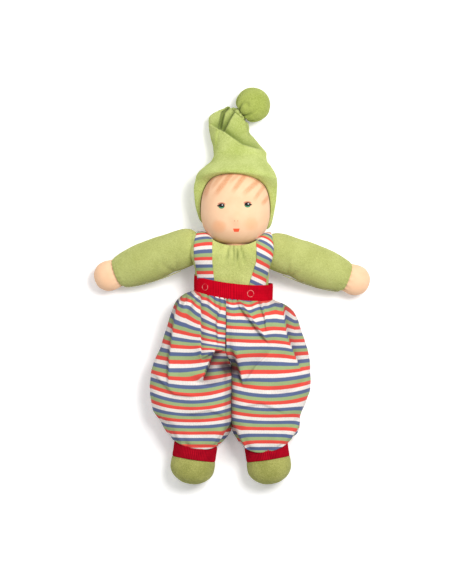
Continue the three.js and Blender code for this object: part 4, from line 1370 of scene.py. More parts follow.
@dataclass
class Leg:
    """Velour leg with its foot, and the rib cuff round the ankle."""

    side: Side
    span: float = 41.0
    shift: float = -1.0
    y: float = -69.8
    z: float = 20.0
    length: float = 109.8
    width: float = 38.4
    depth: float = 35.0
    splay: float = 0.15
    sink: float = 0.012
    bulge: float = 2.2
    cuff_top: float = 73.6
    cuff_height: float = 13.4
    cuff_wall: float = 2.0
    velour_wall: float = 1.6
    rib_count: int = 78
    rib_depth: float = 0.5
    hip_share: float = 0.0145
    wool_span: Pair = (0.04, 0.93)
    splay_from: float = 40
    splay_full: float = 74
    cuff_gap: float = 0.4
    cuff_girth: float = 105
    cuff_flat: Pair = (0.11, 0.033)
    cells: Cells = (72, 110)
    wool_cells: Cells = (48, 72)
    flat: Pair = (110, 110)
    wool_flat: Pair = (100, 108)
    shares: Shares = (
        (0.0145, 0.83, 0.045), (0.055, 0.86, 0.26), (0.13, 0.89, 0.66), (0.22, 0.9, 0.89), (0.41, 0.91, 0.94),
        (0.62, 0.885, 0.93), (0.68, 0.88, 0.915), (0.775, 0.885, 0.92), (0.785, 0.97, 0.95),
        (0.81, 1.02, 0.98), (0.86, 1.03, 1), (0.91, 0.95, 0.97), (0.95, 0.77, 0.86), (0.98, 0.51, 0.62),
        (0.994, 0.29, 0.36), (1, 0.02, 0.02),
    )

    @cached_property
    def matrix(self) -> Matrix:
        """The leg's own frame, mirrored on the left."""
        sign = self.side.value
        place = Vector((self.shift + sign * self.span / 2, self.y, self.z))
        return Matrix.Translation(place) @ Matrix.Diagonal((sign, 1, 1, 1))

    def section(self, drop: float) -> Pair:
        """Give the leg's half width and half depth at a drop from the hip."""
        _, width, thick = read_shares(self.shares, drop / self.length)
        return width * self.width / 2, thick * self.depth / 2

    def ring(self, drop: float, half: float, deep: float, angle: float) -> Vector:
        """Give a point of a ring round the leg, square to its own splay.

        Args:
            drop: The drop from the hip.
            half: Half its width.
            deep: Half its depth.
            angle: The angle round it.

        Returns:
            The point.
        """
        x, z = drop * self.splay, -drop * self.sink
        point = ring_point(-drop, x - half, x + half, z - deep, z + deep, angle, self.bulge)
        point.y += self.splay * (point.x - x) * smoothstep(drop, self.splay_from, self.splay_full)
        return point

    def velour(self, u: float, v: float) -> Vector:
        """Give a point of the leg, from the hip to the toes.

        Args:
            u: Share round it.
            v: Share along it.

        Returns:
            The point.
        """
        along = lerp(self.hip_share, 1, 1 - (1 - v) ** 1.6)
        half, deep = self.section(along * self.length)
        shut = smoothstep(v, -0.001, 0.02)
        point = self.ring(along * self.length, half * max(shut, 0.02), deep, 2 * pi * u)
        grow = 0.3 * pile(point, 10, 2 + self.side.value) + 0.15 * pile(point, 3, 3)
        radial = Vector((point.x - along * self.length * self.splay, 0, point.z)).normalized()
        return point + radial * (grow if along > 0.6 else 0) * (1 - along**20)

    def wool(self, u: float, v: float) -> Vector:
        """Give a point of the stuffing, which lies inside the velour.

        Args:
            u: Share round it.
            v: Share along it.

        Returns:
            The point.
        """
        point = self.velour(u, lerp(*self.wool_span, v))
        along = -point.y / self.length
        middle = Vector((along * self.length * self.splay, point.y, -along * self.length * self.sink))
        shut = smoothstep(v, 0, 0.03) * (1 - smoothstep(v, 0.97, 1))
        return middle.lerp(point, (1 - self.velour_wall / self.depth * 2) * shut)

    def cuff(self, u: float, v: float) -> Vector:
        """Give a point of the rib cuff: u round the ankle, v round the cloth's own section.

        Args:
            u: Share round it.
            v: Share along it.

        Returns:
            The point.
        """
        along, out = rounded(2 * pi * v, 4.0)
        drop = self.cuff_top + self.cuff_height / 2 * (1 + along)
        half, deep = self.section(min(drop, self.cuff_top + 10))
        rib = self.rib_depth * (abs(cos(u * pi * self.rib_count)) - 0.5) * clamp(out + 0.2)
        pinch = 0.25 * sin(u * 2 * pi * 5) * bell(along - 1, 0.8)
        gap = self.cuff_gap + self.cuff_wall / 2 * (1 + out) + rib + pinch
        return self.ring(drop, half + gap, deep + gap, 2 * pi * u)

    def build(self, bench: Bench) -> None:
        """Make the leg and its cuff.

        Args:
            bench: Where it is made.
        """
        label = self.side.label
        mesh = bench.wrap(*self.cells, self.velour, self.flat)
        # Painted shade: a darker copy of the sleeves' velour.
        cloth = Velour(name="velour_foot_painted_shade", light=(182, 182, 106), deep=(144, 146, 74))
        leg = bench.make(f"{label}_leg_velour", mesh, cloth, self.matrix)
        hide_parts(f"{label}_leg_cover")
        mesh = bench.wrap(*self.wool_cells, self.wool, self.wool_flat)
        wool = bench.make(f"{label}_leg_wool", mesh, Wool(), self.matrix)
        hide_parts(f"{label}_leg_stuffing")
        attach(wool, f"{label}_leg")
        mesh = bench.wrap(self.rib_count * 6, 28, self.cuff, (self.cuff_girth, self.cuff_flat[1] / MM))
        # Painted shade: a darker copy of the waistband's rib knit.
        knit = RibKnit(name="rib_cuff_painted_shade", color=(186, 12, 36), deep=(126, 0, 22),
                       rib=self.cuff_girth / self.rib_count)
        cuff = bench.make(f"{label}_cuff_rib", mesh, knit, self.matrix)
        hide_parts(f"{label}_ankle_cuff")
        bench.doubled(cuff, self.cuff_flat)
        for piece in (leg, cuff):
            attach(piece, f"{label}_leg")


@dataclass
class Waist:
    """The leaning line of the waist, which the band, trousers and snaps share."""

    x: float = 1.2
    y: float = -1.6
    z: float = 25.4
    width: float = 70.6
    depth: float = 50.0
    height: float = 15.0
    lean: float = -0.12
    tilt: float = -0.13
    sag: float = 1.5
    bulge: float = 2.4
    wall: float = 2.0
    rib_count: int = 138
    rib_depth: float = 0.5
    girth: float = 195
    flat: Pair = (0.2, 0.034)
    snaps: tuple[tuple[Side, float], ...] = ((Side.LEFT, -24.1), (Side.RIGHT, 16.5))
    snap_press: float = 0.35
    snap_reach: float = 3.2
    ring_radius: float = 2.9
    ring_wire: float = 0.34
    ring_lift: float = 0.12

    def drop(self, x: float, z: float) -> float:
        """Give how far along the doll the waist line lies at a place."""
        sag = self.sag * max(1 - (2 * (x - self.x) / self.width) ** 2, 0) * smoothstep(z, self.z, self.z + 15)
        return self.y - sag + self.lean * (x - self.x) + self.tilt * max(z - self.z, 0)

    def place(self, u: float, v: float) -> Vector:
        """Give a point of the band: u round the waist, v round the cloth's own section.

        Args:
            u: Share round it.
            v: Share along it.

        Returns:
            The point.
        """
        along, out = rounded(2 * pi * v, 4.0)
        rib = self.rib_depth * (abs(cos(u * pi * self.rib_count)) - 0.5) * clamp(out + 0.2)
        sag = 0.3 * sin(u * 2 * pi * 3 + 1) * bell(along - 1, 0.9)
        inset = self.wall / 2 * (1 - out) - rib - sag
        half, deep = self.width / 2 - inset, self.depth / 2 - inset
        point = ring_point(self.height / 2 * along, self.x - half, self.x + half,
                           self.z - deep, self.z + deep, 2 * pi * u, self.bulge)
        for _, snap_x in self.snaps:
            if point.z > self.z:
                edge = hypot(point.x - snap_x, point.y)
                point.z += self.snap_press * bell(edge - self.snap_reach, 0.7) * clamp(out)
        point.y += self.drop(point.x, point.z)
        return point

    def surface(self, x: float) -> tuple[Vector, Vector]:
        """Give the band's front at a place across, and the way out of it.

        Args:
            x: Across the doll.

        Returns:
            The point and the unit way out.
        """
        share = (x - self.x) / (self.width / 2)
        z = self.z + self.depth / 2 * (1 - abs(share) ** self.bulge) ** (1 / self.bulge)
        slope_x = copysign(abs(share) ** (self.bulge - 1), share) / (self.width / 2)
        slope_z = ((z - self.z) / (self.depth / 2)) ** (self.bulge - 1) / (self.depth / 2)
        return Vector((x, self.drop(x, z), z)), Vector((slope_x, 0, slope_z)).normalized()

    def build(self, bench: Bench) -> None:
        """Make the waistband and the snap rings on it.

        Args:
            bench: Where it is made.
        """
        mesh = bench.wrap(self.rib_count * 5, 28, self.place, (self.girth, self.flat[1] / MM))
        band = bench.make("waistband_rib", mesh, RibKnit())
        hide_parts("waistband")
        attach(band, "body")
        bench.doubled(band, self.flat)
        for side, x in self.snaps:
            self.snap(bench, side, x)

    def snap(self, bench: Bench, side: Side, x: float) -> None:
        """Spin one snap's pronged ring and set it on the band.

        Args:
            bench: Where it is made.
            side: The snap's side.
            x: Across the doll.
        """
        mesh = bmesh.new()
        profile = bmesh.ops.create_circle(mesh, segments=12, radius=self.ring_wire)["verts"]
        bmesh.ops.rotate(mesh, verts=profile, cent=(0, 0, 0), matrix=Matrix.Rotation(pi / 2, 3, "X"))
        bmesh.ops.translate(mesh, verts=profile, vec=(self.ring_radius, 0, 0))
        bmesh.ops.spin(mesh, geom=[*profile, *mesh.edges], cent=(0, 0, 0), axis=(0, 0, 1),
                       angle=2 * pi, steps=48, use_merge=True, use_duplicate=False)
        bench.close(mesh)
        point, outwards = self.surface(x)
        turn = Vector((0, 0, 1)).rotation_difference(outwards).to_matrix().to_4x4()
        matrix = Matrix.Translation(point + outwards * self.ring_lift) @ turn
        ring = bench.make(f"{side.label}_snap_face", mesh, SnapUnderRib(), matrix)
        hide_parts(f"{side.label}_snap_ring")
        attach(ring, "body")


@dataclass
class Trousers:
    """One half of the striped bloomers, gathered at the waist and puffed over the cuff."""

    side: Side
    waist: Waist
    leg: Leg
    top: float = -6.3
    length: float = 137.1
    spread_left: float = 74.3
    spread_right: float = 70.9
    depth: float = 54.5
    bulge: float = 2.5
    crotch: float = -74.0
    crotch_x: float = -0.5
    seam_x: float = -5.5
    fade: float = -60.0
    rest: float = 0.4
    gather: float = 1.3
    hem: float = 0.8
    seam_gap: float = 0.02
    inner_bulge: float = 4.0
    phase: float = 0.0
    centre: float = 0.0
    dip: float = 0.0
    droop: float = 0.0
    slack: float = 0.0
    wall: float = 0.8
    cut: float = 0.95
    hem_share: float = 0.985
    roll_from: float = 0.93
    roll_share: float = 0.07
    roll_in: float = 0.8
    roll_drop: float = 3.2
    roll_back: float = 1.5
    leg_y: float = 100
    leg_half: float = 36
    sag: float = 5.5
    front_z: float = 22
    fold_z: float = 18
    pocket_x: float = 3.6
    pocket_depth: float = 9
    tuck_depth: float = 1.3
    deepest: float = 6.5
    blend_up: float = 14
    blend_down: float = 16
    cells: Cells = (240, 230)
    flat: Pair = (150, 150)
    shares: Shares = (
        (0, 0.46, 0.515, 0.925), (0.035, 0.58, 0.68, 0.985), (0.085, 0.68, 0.79, 1.01),
        (0.2, 0.76, 0.875, 1.01), (0.35, 0.855, 0.952, 0.975), (0.46, 0.95, 0.99, 0.94), (0.57, 0.99, 1, 0.9),
        (0.65, 1, 0.985, 0.88), (0.72, 0.99, 0.94, 0.86), (0.79, 0.96, 0.87, 0.83),
        (0.88, 0.875, 0.853, 0.79), (0.93, 0.835, 0.856, 0.76), (0.965, 0.787, 0.83, 0.735),
        (1, 0.71, 0.727, 0.69),
    )
    inner_shares: Shares = (
        (0.42, -0.004, -0.018), (0.855, -0.004, -0.018), (0.9, 0.015, 0.005), (0.935, 0.07, 0.05),
        (0.965, 0.12, 0.09), (1, 0.188, 0.16),
    )
    creases: dict[Side, tuple[Crease, ...]] = field(default_factory=lambda: {
        Side.LEFT: (
            Crease(((-27.4, -66), (-27.9, -6)), 3, 9, 0.5, 0.8, 4.5, -3),
            Crease(((-26.5, -86), (-22, -74), (-14.5, -57)), 5.5, 10, 0.6, 0.9, 7, -4),
            Crease(((-43.2, -4), (-51.3, -25.7), (-56.7, -65.3), (-57.6, -90)), 3.4, 14, 1, 0.8, 8, 2),
            Crease(((-10, -14), (-14, -30), (-13, -52)), 2.2, 6, 1, 0.8, 4, 1.6),
            Crease(((-4, -84), (-20, -90), (-34, -88)), 2.4, 7, 1.8, 0.6, 6, 0),
            Crease(((-70, -80), (-52, -98), (-34, -100)), 2, 9, 1.6, 0.5, 6, 0),
            Crease(((-40, -116), (-20, -112), (-6, -118)), 1.6, 8, 2, 0.5, 6, 0),
            Crease(((-27, -66), (-17, -60), (-7, -58)), 3, 6, 0.8, 0.8, 5, -2),
            Crease(((-11, -147), (-5, -131)), 3, 5, 0.7, 0.8, 3, 3),
        ),
        Side.RIGHT: (
            Crease(((61, -74), (55, -60), (49.2, -44), (45, -8)), 3.8, 13, 0.9, 0.8, 9, 3.4),
            Crease(((5, -10), (17, -28), (31, -49)), 3.4, 8, 0.9, 0.8, 5, 2.2),
            Crease(((24, -6), (29, -24), (30, -38)), 2.2, 6, 1, 0.7, 4, -1.6),
            Crease(((0, -56), (5, -72), (9, -88)), 4.4, 9, 0.7, 0.9, 5, 3),
            Crease(((34, -60), (20, -73), (10, -89)), 2.2, 8, 1.4, 0.6, 6, 0),
            Crease(((68, -84), (50, -98), (32, -96)), 2, 9, 1.6, 0.5, 6, 0),
            Crease(((6, -110), (26, -106), (46, -114)), 1.6, 8, 2, 0.5, 6, 0),
            Crease(((52, -148), (60, -130), (66.6, -106)), 3, 6, 0.7, 0.8, 3, 4),
            Crease(((3, -131), (12, -147)), 3, 5, 0.7, 0.8, 3, 3),
        ),
    })

    def edges(self, along: float) -> tuple[float, float, float, float, float]:
        """Give a section's left, right and inner edges, its top and its place along the doll.

        Args:
            along: The share along it.

        Returns:
            The five values, in millimetres.
        """
        _, left, right, front = read_shares(self.shares, along)
        _, inner_left, inner_right = read_shares(self.inner_shares, along)
        left, right = -left * self.spread_left, right * self.spread_right
        inner = -inner_left * self.spread_left if self.side is Side.LEFT else inner_right * self.spread_right
        return left, right, inner, front * self.depth, self.top - along * self.length

    def middle(self, y: float) -> float:
        """Give how far across the doll the two halves meet at a place along it."""
        return lerp(self.seam_x, self.crotch_x, smoothstep(-y, -self.fade, -self.crotch))

    def plain(self, u: float, along: float) -> Vector:
        """Give a point of the half's plain form, from its front seam round to its back seam.

        Args:
            u: Share round it.
            along: The share along it.

        Returns:
            The point.
        """
        left, right, inner, high, y = self.edges(along)
        sign = self.side.value
        low = lerp(self.waist.z - self.waist.depth / 2, self.rest, min(along / 0.03, 1))
        seam = self.middle(y) + sign * self.seam_gap
        middle, half = (left + right) / 2, (right - left) / 2
        share = clamp((seam - middle) / half, -0.99, 0.99) * sign
        start = acos(copysign(abs(share) ** (self.bulge / 2), share))
        turn = lerp(start, -start, u)
        across, up = rounded(turn, self.bulge)
        whole = Vector((middle + sign * half * across, y, (low + high) / 2 + (high - low) / 2 * up))
        outer = left if self.side is Side.LEFT else right
        centre, reach = (inner + outer) / 2, abs(outer - inner) / 2
        turn = pi - 2 * pi * u
        across, up = rounded(turn, lerp(self.bulge, self.inner_bulge, clamp(-cos(turn) * 1.5)))
        tube = Vector((centre + sign * reach * across, y, (low + high) / 2 + (high - low) / 2 * up))
        return whole.lerp(tube, smoothstep(-y, -self.crotch - 15, -self.crotch + 9))

    def place(self, u: float, v: float) -> Vector:
        """Give a point of the half with its gathers, folds and puffed hem.

        Args:
            u: Share round it.
            v: Share along it.

        Returns:
            The point.
        """
        roll = clamp((v - self.roll_from) / self.roll_share)
        along = lerp(0, self.hem_share, min(v / self.roll_from, 1)) if roll == 0 else self.hem_share
        point = self.plain(u, along)
        y = point.y
        left, right, inner, high, _ = self.edges(along)
        outer = left if self.side is Side.LEFT else right
        axis = Vector(((inner + outer) / 2, y, high / 2))
        away = (point - axis).normalized()
        wave = sin(u * 47 + 1.3 * sin(u * 17 + self.phase))
        wave += 0.5 * sin(u * 29 + 2 + self.phase)
        fall = self.top - y
        side = smoothstep(abs(u - 0.5), 0.12, 0.3)
        waist = self.gather * wave * bell(fall - 6, 13) * smoothstep(fall, 0, 3) * lerp(0.45, 1, side)
        hem_fall = y - (self.top - self.length * self.hem_share)
        cuffs = self.hem * sin(u * 75 + self.phase + sin(u * 20)) * bell(hem_fall, 11)
        lump = 1.5 * pile(Vector((point.x, y, point.z * 0.7)), 24, 3 + self.phase) + 0.6 * pile(point, 9, 6)
        back = clamp((axis.z - point.z) / 8)
        point += away * (waist + cuffs + lump * smoothstep(fall, 4, 30)) * (1 - 0.7 * back)
        point.y += self.smile(point, axis.x, 1 - back)
        if point.z > high * 0.45:
            front = smoothstep(point.z, high * 0.45, high * 0.8)
            point.z += front * lifted(self.creases[self.side], point.x, point.y)
            pocket = bell(point.x + self.pocket_x, 8) * bell(y + 75, 8)
            pocket += 0.4 * bell(point.x + 4.5, 4) * bell(y + 52, 18)
            tucks = self.tuck_depth * self.tuck(point.x) * bell(fall - 5, 7)
            point.z -= front * (self.pocket_depth * pocket + tucks)
        weight = clamp((y - self.fade) / (self.top - self.fade))
        point.y += weight * self.waist.drop(point.x, point.z)
        if roll > 0:
            turn = roll * pi
            share = lerp(1, self.roll_in, (1 - cos(turn)) / 2)
            point.x = axis.x + (point.x - axis.x) * share
            point.z = axis.z + (point.z - axis.z) * share
            point.y -= self.roll_drop * sin(turn) - self.roll_back * roll
        seam = bell(min(u, 1 - u) * 150, 1.6) * smoothstep(fall, 1, 8)
        point -= away * 0.3 * seam
        limit = min if self.side is Side.LEFT else max
        point.x = limit(point.x, self.middle(y))
        point.z = max(point.z, 0.3)
        return point

    def smile(self, point: Vector, centre: float, front: float) -> float:
        """Sag the rings of cloth in the middle of the leg, and level them with its splay.

        Args:
            point: The point, in millimetres.
            centre: The leg's middle across.
            front: 1 at the front, 0 at the back.

        Returns:
            The shift along the doll.
        """
        off = clamp((point.x - centre) / 34, -1, 1)
        sag = self.sag * (1 - off * off) * bell(point.y + self.leg_y, 24)
        hem = smoothstep(-point.y, 112, 142)
        pouch = hem * front * (6 * (abs(off) * 1.4) ** 3 - self.droop * (1 - off * off))
        return pouch - sag + hem * self.side.value * self.leg.splay * (point.x - centre)

    def pattern(self, point: Vector) -> float:
        """Give the cloth's coordinate along at a point, which the stripes follow.

        Args:
            point: The point, in millimetres.

        Returns:
            The coordinate, in millimetres.
        """
        x, y, z = point
        weight = clamp((y - self.fade) / (self.top - self.fade))
        level = y - weight * self.waist.drop(x, z)
        off = clamp((x - self.centre) / self.leg_half, -1, 1)
        dip = self.dip * (1 - off * off) * bell(y + self.leg_y, 30)
        fall = self.slack * (x + 60) * bell(y + 34, 30)
        slip = sum(crease.slip(x, y) for crease in self.creases[self.side]) if z > self.front_z else 0
        wave = 0.9 * sin(x * 0.42 + 1.3) * bell(y + 14, 13)
        if self.side is Side.LEFT:
            fan = 0.5 * clamp(x + 27, -14, 0) + 0.25 * clamp(x + 27, 0, 20)
        else:
            fan = 1.2 * clamp(x - 48, 0, 8) - 0.36 * clamp(x - 17, 0, 31)
        curl = 7 * smoothstep(y, -24, -2)
        return -(level + dip + fall + slip + wave + curl + fan * bell(y + 6, 28)) + self.phase

    def tuck(self, x: float) -> float:
        """Give how near a place across is to one of the gathers under the band."""
        return abs(cos(x * 0.55 + 0.9 * sin(x * 0.19 + self.phase))) ** 6

    def folded(self, point: Vector) -> float:
        """Give how deep a point lies in the folds.

        Args:
            point: The point, in millimetres.

        Returns:
            The depth, where 1 is deep.
        """
        x, y, z = point
        if z < self.fold_z:
            return 0.0
        fold = pressed(self.creases[self.side], x, y) / self.deepest
        pocket = 1.2 * bell(x + self.pocket_x, 7) * bell(y + 76 + 0.3 * x, 4)
        seam = 0.5 * bell(x - self.crotch_x, 3) * smoothstep(-y, 78, 90) + 0.3 * bell(x - self.seam_x, 2)
        gather = 0.42 * self.tuck(x) * bell(self.top - y - 5, 6)
        return fold + pocket + seam + gather

    def build(self, bench: Bench) -> None:
        """Make this half.

        Args:
            bench: Where it is made.
        """
        label = self.side.label
        mesh = bench.wrap(*self.cells, self.place, self.flat)
        bench.slide(mesh, self.pattern, StripedJersey().period)
        bench.fold(mesh, self.folded)
        half = bench.make(f"{label}_bloomer_jersey", mesh, StripedJersey())
        bench.declare(half, self.cut)
        bench.wall(half, self.wall)
        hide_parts(f"{label}_trouser_half")
        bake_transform(half)


@dataclass
class Strap:
    """A striped strap laid on the torso and the sleeve's ball, from band to band."""

    side: Side
    width: float = 18.0
    low: float = 14.0
    top: float = 17.0
    back: float = 7.0
    end_y: float = -6.8
    back_end_y: float = 3.0
    turn_y: float = 22.0
    turn_z: float = 27.0
    gap: float = 1.15
    phase: float = 0.0
    slant: float = 0.0
    lead: float = 400
    step: float = 0.3
    far: float = 90
    smoothings: int = 6
    softness: float = 0.4
    wall: float = 1.0
    cut: float = 6.0
    centre: Triple = (0, 20, 26)
    cells: Cells = (14, 96)

    def inner(self, share: float) -> float:
        """Give the strap's inner edge across the doll at a share of its way."""
        front = lerp(self.low, self.top, min(share * 3, 1))
        return self.side.value * lerp(front, self.back, max(share * 3 - 2, 0))

    def under(self, tree: BVHTree, x: float, share: float) -> Vector:
        """Give the body's surface under the strap.

        Args:
            tree: The body under it.
            x: Across the doll.
            share: The share of the way.

        Returns:
            The point.
        """
        third = share * 3
        if third < 1 or third > 2:
            way = -1 if third < 1 else 1
            y = lerp(self.end_y, self.turn_y, third)
            if way > 0:
                y = lerp(self.turn_y, self.back_end_y, third - 2)
            start = Vector((x, y, -self.far * way + self.turn_z))
            hit = tree.ray_cast(start, Vector((0, 0, way)))[0]
            return hit or Vector((x, y, self.turn_z))
        angle = lerp(pi / 2, -pi / 2, third - 1)
        way = Vector((0, cos(angle), sin(angle)))
        middle = Vector((x, self.turn_y, self.turn_z))
        hit = tree.ray_cast(middle + way * self.far, -way)[0]
        return hit or middle

    def row(self, tree: BVHTree, share: float) -> list[Vector]:
        """Step the strap's true width along the body's surface.

        Args:
            tree: The body under it.
            share: The share of the way.

        Returns:
            The row's points, from the inner edge out.
        """
        count = self.cells[0]
        x = self.inner(share)
        points = []
        for _ in range(count + 1):
            here = self.under(tree, x, share)
            points.append(here)
            ahead = self.under(tree, x + self.side.value * self.step, share)
            stretch = clamp((ahead - here).length / self.step, 1, 3)
            x += self.side.value * self.width / count / stretch
        return points

    def build(self, bench: Bench, tree: BVHTree) -> None:
        """Make this strap.

        Args:
            bench: Where it is made.
            tree: The body under it.
        """
        count, steps = self.cells
        rows = [self.row(tree, index / steps) for index in range(steps + 1)]
        middle = [row[count // 2] for row in rows]
        gone = [0.0]
        for first, second in zip(middle, middle[1:]):
            gone.append(gone[-1] + (second - first).length)

        def place(u: float, v: float) -> Vector:
            """Read the stepped rows."""
            return rows[round(v * steps)][round(u * count)].copy()

        mesh = bench.wrap(count, steps, place, (self.width, gone[-1]))
        for _ in range(self.smoothings):
            bmesh.ops.smooth_vert(mesh, verts=mesh.verts, factor=self.softness,
                                  use_axis_x=True, use_axis_y=True, use_axis_z=True)
        centre = Vector(self.centre)
        mesh.normal_update()
        if sum((face.calc_center_median() - centre).dot(face.normal) for face in mesh.faces) < 0:
            bmesh.ops.reverse_faces(mesh, faces=mesh.faces)
            mesh.normal_update()
        for vert, normal in [(vert, vert.normal.copy()) for vert in mesh.verts]:
            vert.co += normal * self.gap
        layer = mesh.loops.layers.uv["cloth"]
        for face in mesh.faces:
            for loop in face.loops:
                u, v = loop[layer].uv.x / (self.width * MM), loop[layer].uv.y / (gone[-1] * MM)
                reach = gone[min(round(v * steps), steps)]
                loop[layer].uv.y = (self.phase - reach + self.slant * u * self.width + self.lead) * MM
        label = self.side.label
        strap = bench.make(f"{label}_strap_jersey", mesh, StripedJersey())
        bench.declare(strap, self.cut)
        bench.wall(strap, self.wall)
        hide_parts(f"{label}_strap")
        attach(strap, "body")


@dataclass
class Hat:
    """Velour hood pulled over the head, with a long tail that folds over to a tied tip."""

    head: Head
    wall: float = 1.2
    lie: float = 0.7
    swell: float = 6.0
    bottom: float = 42.0
    nape: float = 50.2
    rim_lean: float = -0.12
    width: float = 74.8
    depth: float = 66.5
    crown: float = 119.0
    tail_width: float = 47.5
    tail_depth: float = 31.0
    bulge: float = 2.1
    aim: Vector = field(default_factory=lambda: Vector((0.8, 0.6, 0.08)).normalized())
    pompom: Vector = field(default_factory=lambda: Vector((19.0, 163.0, 16.0)))
    setback: float = 12.5
    tip: float = 5.2
    tip_pleats: int = 9
    hood_share: float = 0.5
    tail_share: float = 0.43
    tip_from: float = 0.93
    tip_share: float = 0.07
    fold_z: float = 10
    fold_y: float = 112
    deepest: float = 5
    cut: float = 0.7
    cells: Cells = (220, 230)
    flat: Pair = (230, 130)
    shares: Shares = (
        (0, 0.875, -0.0075, 0.99, 0), (0.17, 0.89, -0.0075, 1, 0), (0.31, 0.935, -0.0075, 1, 0),
        (0.44, 0.98, -0.0075, 0.98, 0), (0.57, 1, -0.0075, 0.95, 0), (0.69, 0.975, 0.01, 0.94, 0.01),
        (0.77, 0.915, 0.02, 0.86, 0.015), (0.845, 0.79, 0.02, 0.74, 0.03), (0.91, 0.67, 0.015, 0.62, 0.045),
        (1, 0.64, 0.01, 0.49, 0.06),
    )
    rim_rows: Shares = ((-40, 112), (-19, 99.8), (-10, 94), (-3.5, 87), (0, 73), (3, 58), (10, 52), (40, 46))
    tail_rows: Shares = (
        (0, -0.427, 0, 0.595, 0, 0.01, 1.05), (0.12, -0.42, 0.07, 0.575, 0.042, 0.01, 1),
        (0.22, -0.43, 0.17, 0.466, 0.16, 0.01, 0.95), (0.32, -0.465, 0.3, 0.363, 0.29, 0.01, 0.9),
        (0.52, -0.505, 0.54, 0.27, 0.4, 0.02, 0.8), (0.68, -0.495, 0.7, 0.26, 0.5, 0.04, 0.72),
        (0.84, -0.33, 0.82, 0.24, 0.58, 0.08, 0.68), (1, -0.14, 0.88, 0.17, 0.62, 0.16, 0.66),
    )
    creases: tuple[Crease, ...] = (
        Crease(((28, 121), (9, 126.5), (-7.6, 138.2), (-19.5, 144.5)), 4.2, 12, 0.7, 1.2, 8),
        Crease(((5.9, 160.5), (-1, 150), (-7.6, 138)), 4, 9, 0.6, 1.2, 3),
        Crease(((15.3, 134), (12, 147), (5.9, 161)), 1.8, 7, 0.6, 0.9, 3),
        Crease(((0.5, 162), (-6.4, 155.5), (-10, 141)), 2.6, 3, 0.8, 1.4, 3),
        Crease(((-13, 139), (-9.6, 156), (-1.5, 162.5)), 2.6, 7, 0.7, 1.4, 2.5),
        Crease(((-16.2, 119), (-13.5, 137.3)), 1.2, 6, 1.6, 0.6, 5),
        Crease(((2, 108), (24, 101)), 0.9, 8, 2.2, 0.5, 6),
    )

    @cached_property
    def tie(self) -> Vector:
        """Where the thread gathers the tip."""
        return self.pompom - self.aim * self.setback

    def body(self, angle: float, along: float) -> Vector:
        """Give a point of the hood's outside.

        Args:
            angle: The angle round it.
            along: The share along it.

        Returns:
            The point.
        """
        _, width, back, front, shift = read_shares(self.shares, along)
        half = width * self.width / 2
        x = self.head.x + shift * self.width
        return ring_point(lerp(self.bottom, self.crown, along), x - half, x + half,
                          max(back * self.depth, 0.0), front * self.depth, angle, self.bulge)

    def rim(self, angle: float) -> Pair:
        """Give where the rim lies on the head at an angle.

        Args:
            angle: The angle round the head, from its right side.

        Returns:
            The rim's place along the doll and its reach from the head's middle line.
        """
        low, high = self.nape, self.head.y + self.head.crown
        for _ in range(24):
            middle = (low + high) / 2
            reach = self.head.reach(middle) + self.lie
            line = read_shares(self.rim_rows, -reach * sin(angle))[1]
            if middle < line + self.rim_lean * reach * cos(angle):
                low = middle
            else:
                high = middle
        return high, self.head.reach(high) + self.lie

    def hood(self, angle: float, share: float) -> Vector:
        """Give a point of the hood, from the rim on the head to the crown's end.

        Args:
            angle: The angle round it.
            share: The share of the way.

        Returns:
            The point.
        """
        start, reach = self.rim(angle)
        y = lerp(start, self.crown, share**1.15)
        body = self.body(angle, (y - self.bottom) / (self.crown - self.bottom))
        near = Vector((self.head.x + reach * cos(angle), y, self.head.z + reach * sin(angle)))
        grown = clamp((y - start) / self.swell)
        return near.lerp(body, sqrt(1 - (1 - grown) ** 2))

    def tail(self, angle: float, along: float) -> Vector:
        """Give a point of the tail, from the crown's end to the tie.

        Args:
            angle: The angle round it.
            along: The share along it.

        Returns:
            The point.
        """
        _, left_x, left_y, right_x, right_y, low, high = read_shares(self.tail_rows, along)
        across, up = rounded(angle, 2.3)
        share = (across + 1) / 2
        x = self.head.x + lerp(left_x, right_x, share) * self.tail_width
        y = self.crown + lerp(left_y, right_y, share) * self.tail_width
        z = lerp(low, high, (up + 1) / 2) * self.tail_depth
        return Vector((x, y, max(z, 0.2)))

    def gathered(self, angle: float, share: float) -> Vector:
        """Give a point of the tip where the thread draws it in.

        Args:
            angle: The angle round it.
            share: The share of the way.

        Returns:
            The point.
        """
        side = Vector((-self.aim.y, self.aim.x, 0)).normalized()
        up = side.cross(self.aim)
        radius = self.tip * (1 + 0.12 * cos(self.tip_pleats * angle)) * lerp(1.25, 0.9, share)
        centre = self.tie - self.aim * lerp(3.5, 1.0, share)
        return centre - side * cos(angle) * radius + up * sin(angle) * radius

    def place(self, u: float, v: float) -> Vector:
        """Give a point of the velour, from the rolled rim to the tie.

        Args:
            u: Share round it.
            v: Share along it.

        Returns:
            The point.
        """
        angle = 2 * pi * u
        if v < self.hood_share:
            point = self.hood(angle, v / self.hood_share)
        elif v < self.tip_from:
            share = (v - self.hood_share) / self.tail_share
            point = self.tail(angle, share)
            if share < 0.2:
                point = self.body(angle, 1).lerp(point, smoothstep(share, 0, 0.2))
        else:
            share = (v - self.tip_from) / self.tip_share
            point = self.tail(angle, 1).lerp(self.gathered(angle, share), smoothstep(share, -0.1, 0.5))
        front = clamp(sin(angle) * 2.2)
        free = 1 - smoothstep(v, 0.9, 0.97)
        point.z += front * lifted(self.creases, point.x, point.y) * free
        grow = 0.45 * pile(point, 14, 9) + 0.2 * pile(point, 4, 8) + 0.12 * pile(point, 1.6, 3)
        middle = Vector((self.head.x, point.y, 20 if v > 0.45 else self.head.z))
        away = (point - middle).normalized()
        out = point + away * grow * free * smoothstep(v, 0, 0.06)
        out.z = max(out.z, 0.15)
        return out

    def folded(self, point: Vector) -> float:
        """Give how deep a point lies in the tail's folds."""
        inside = point.z >= self.fold_z and point.y >= self.fold_y
        return pressed(self.creases, point.x, point.y) / self.deepest if inside else 0.0

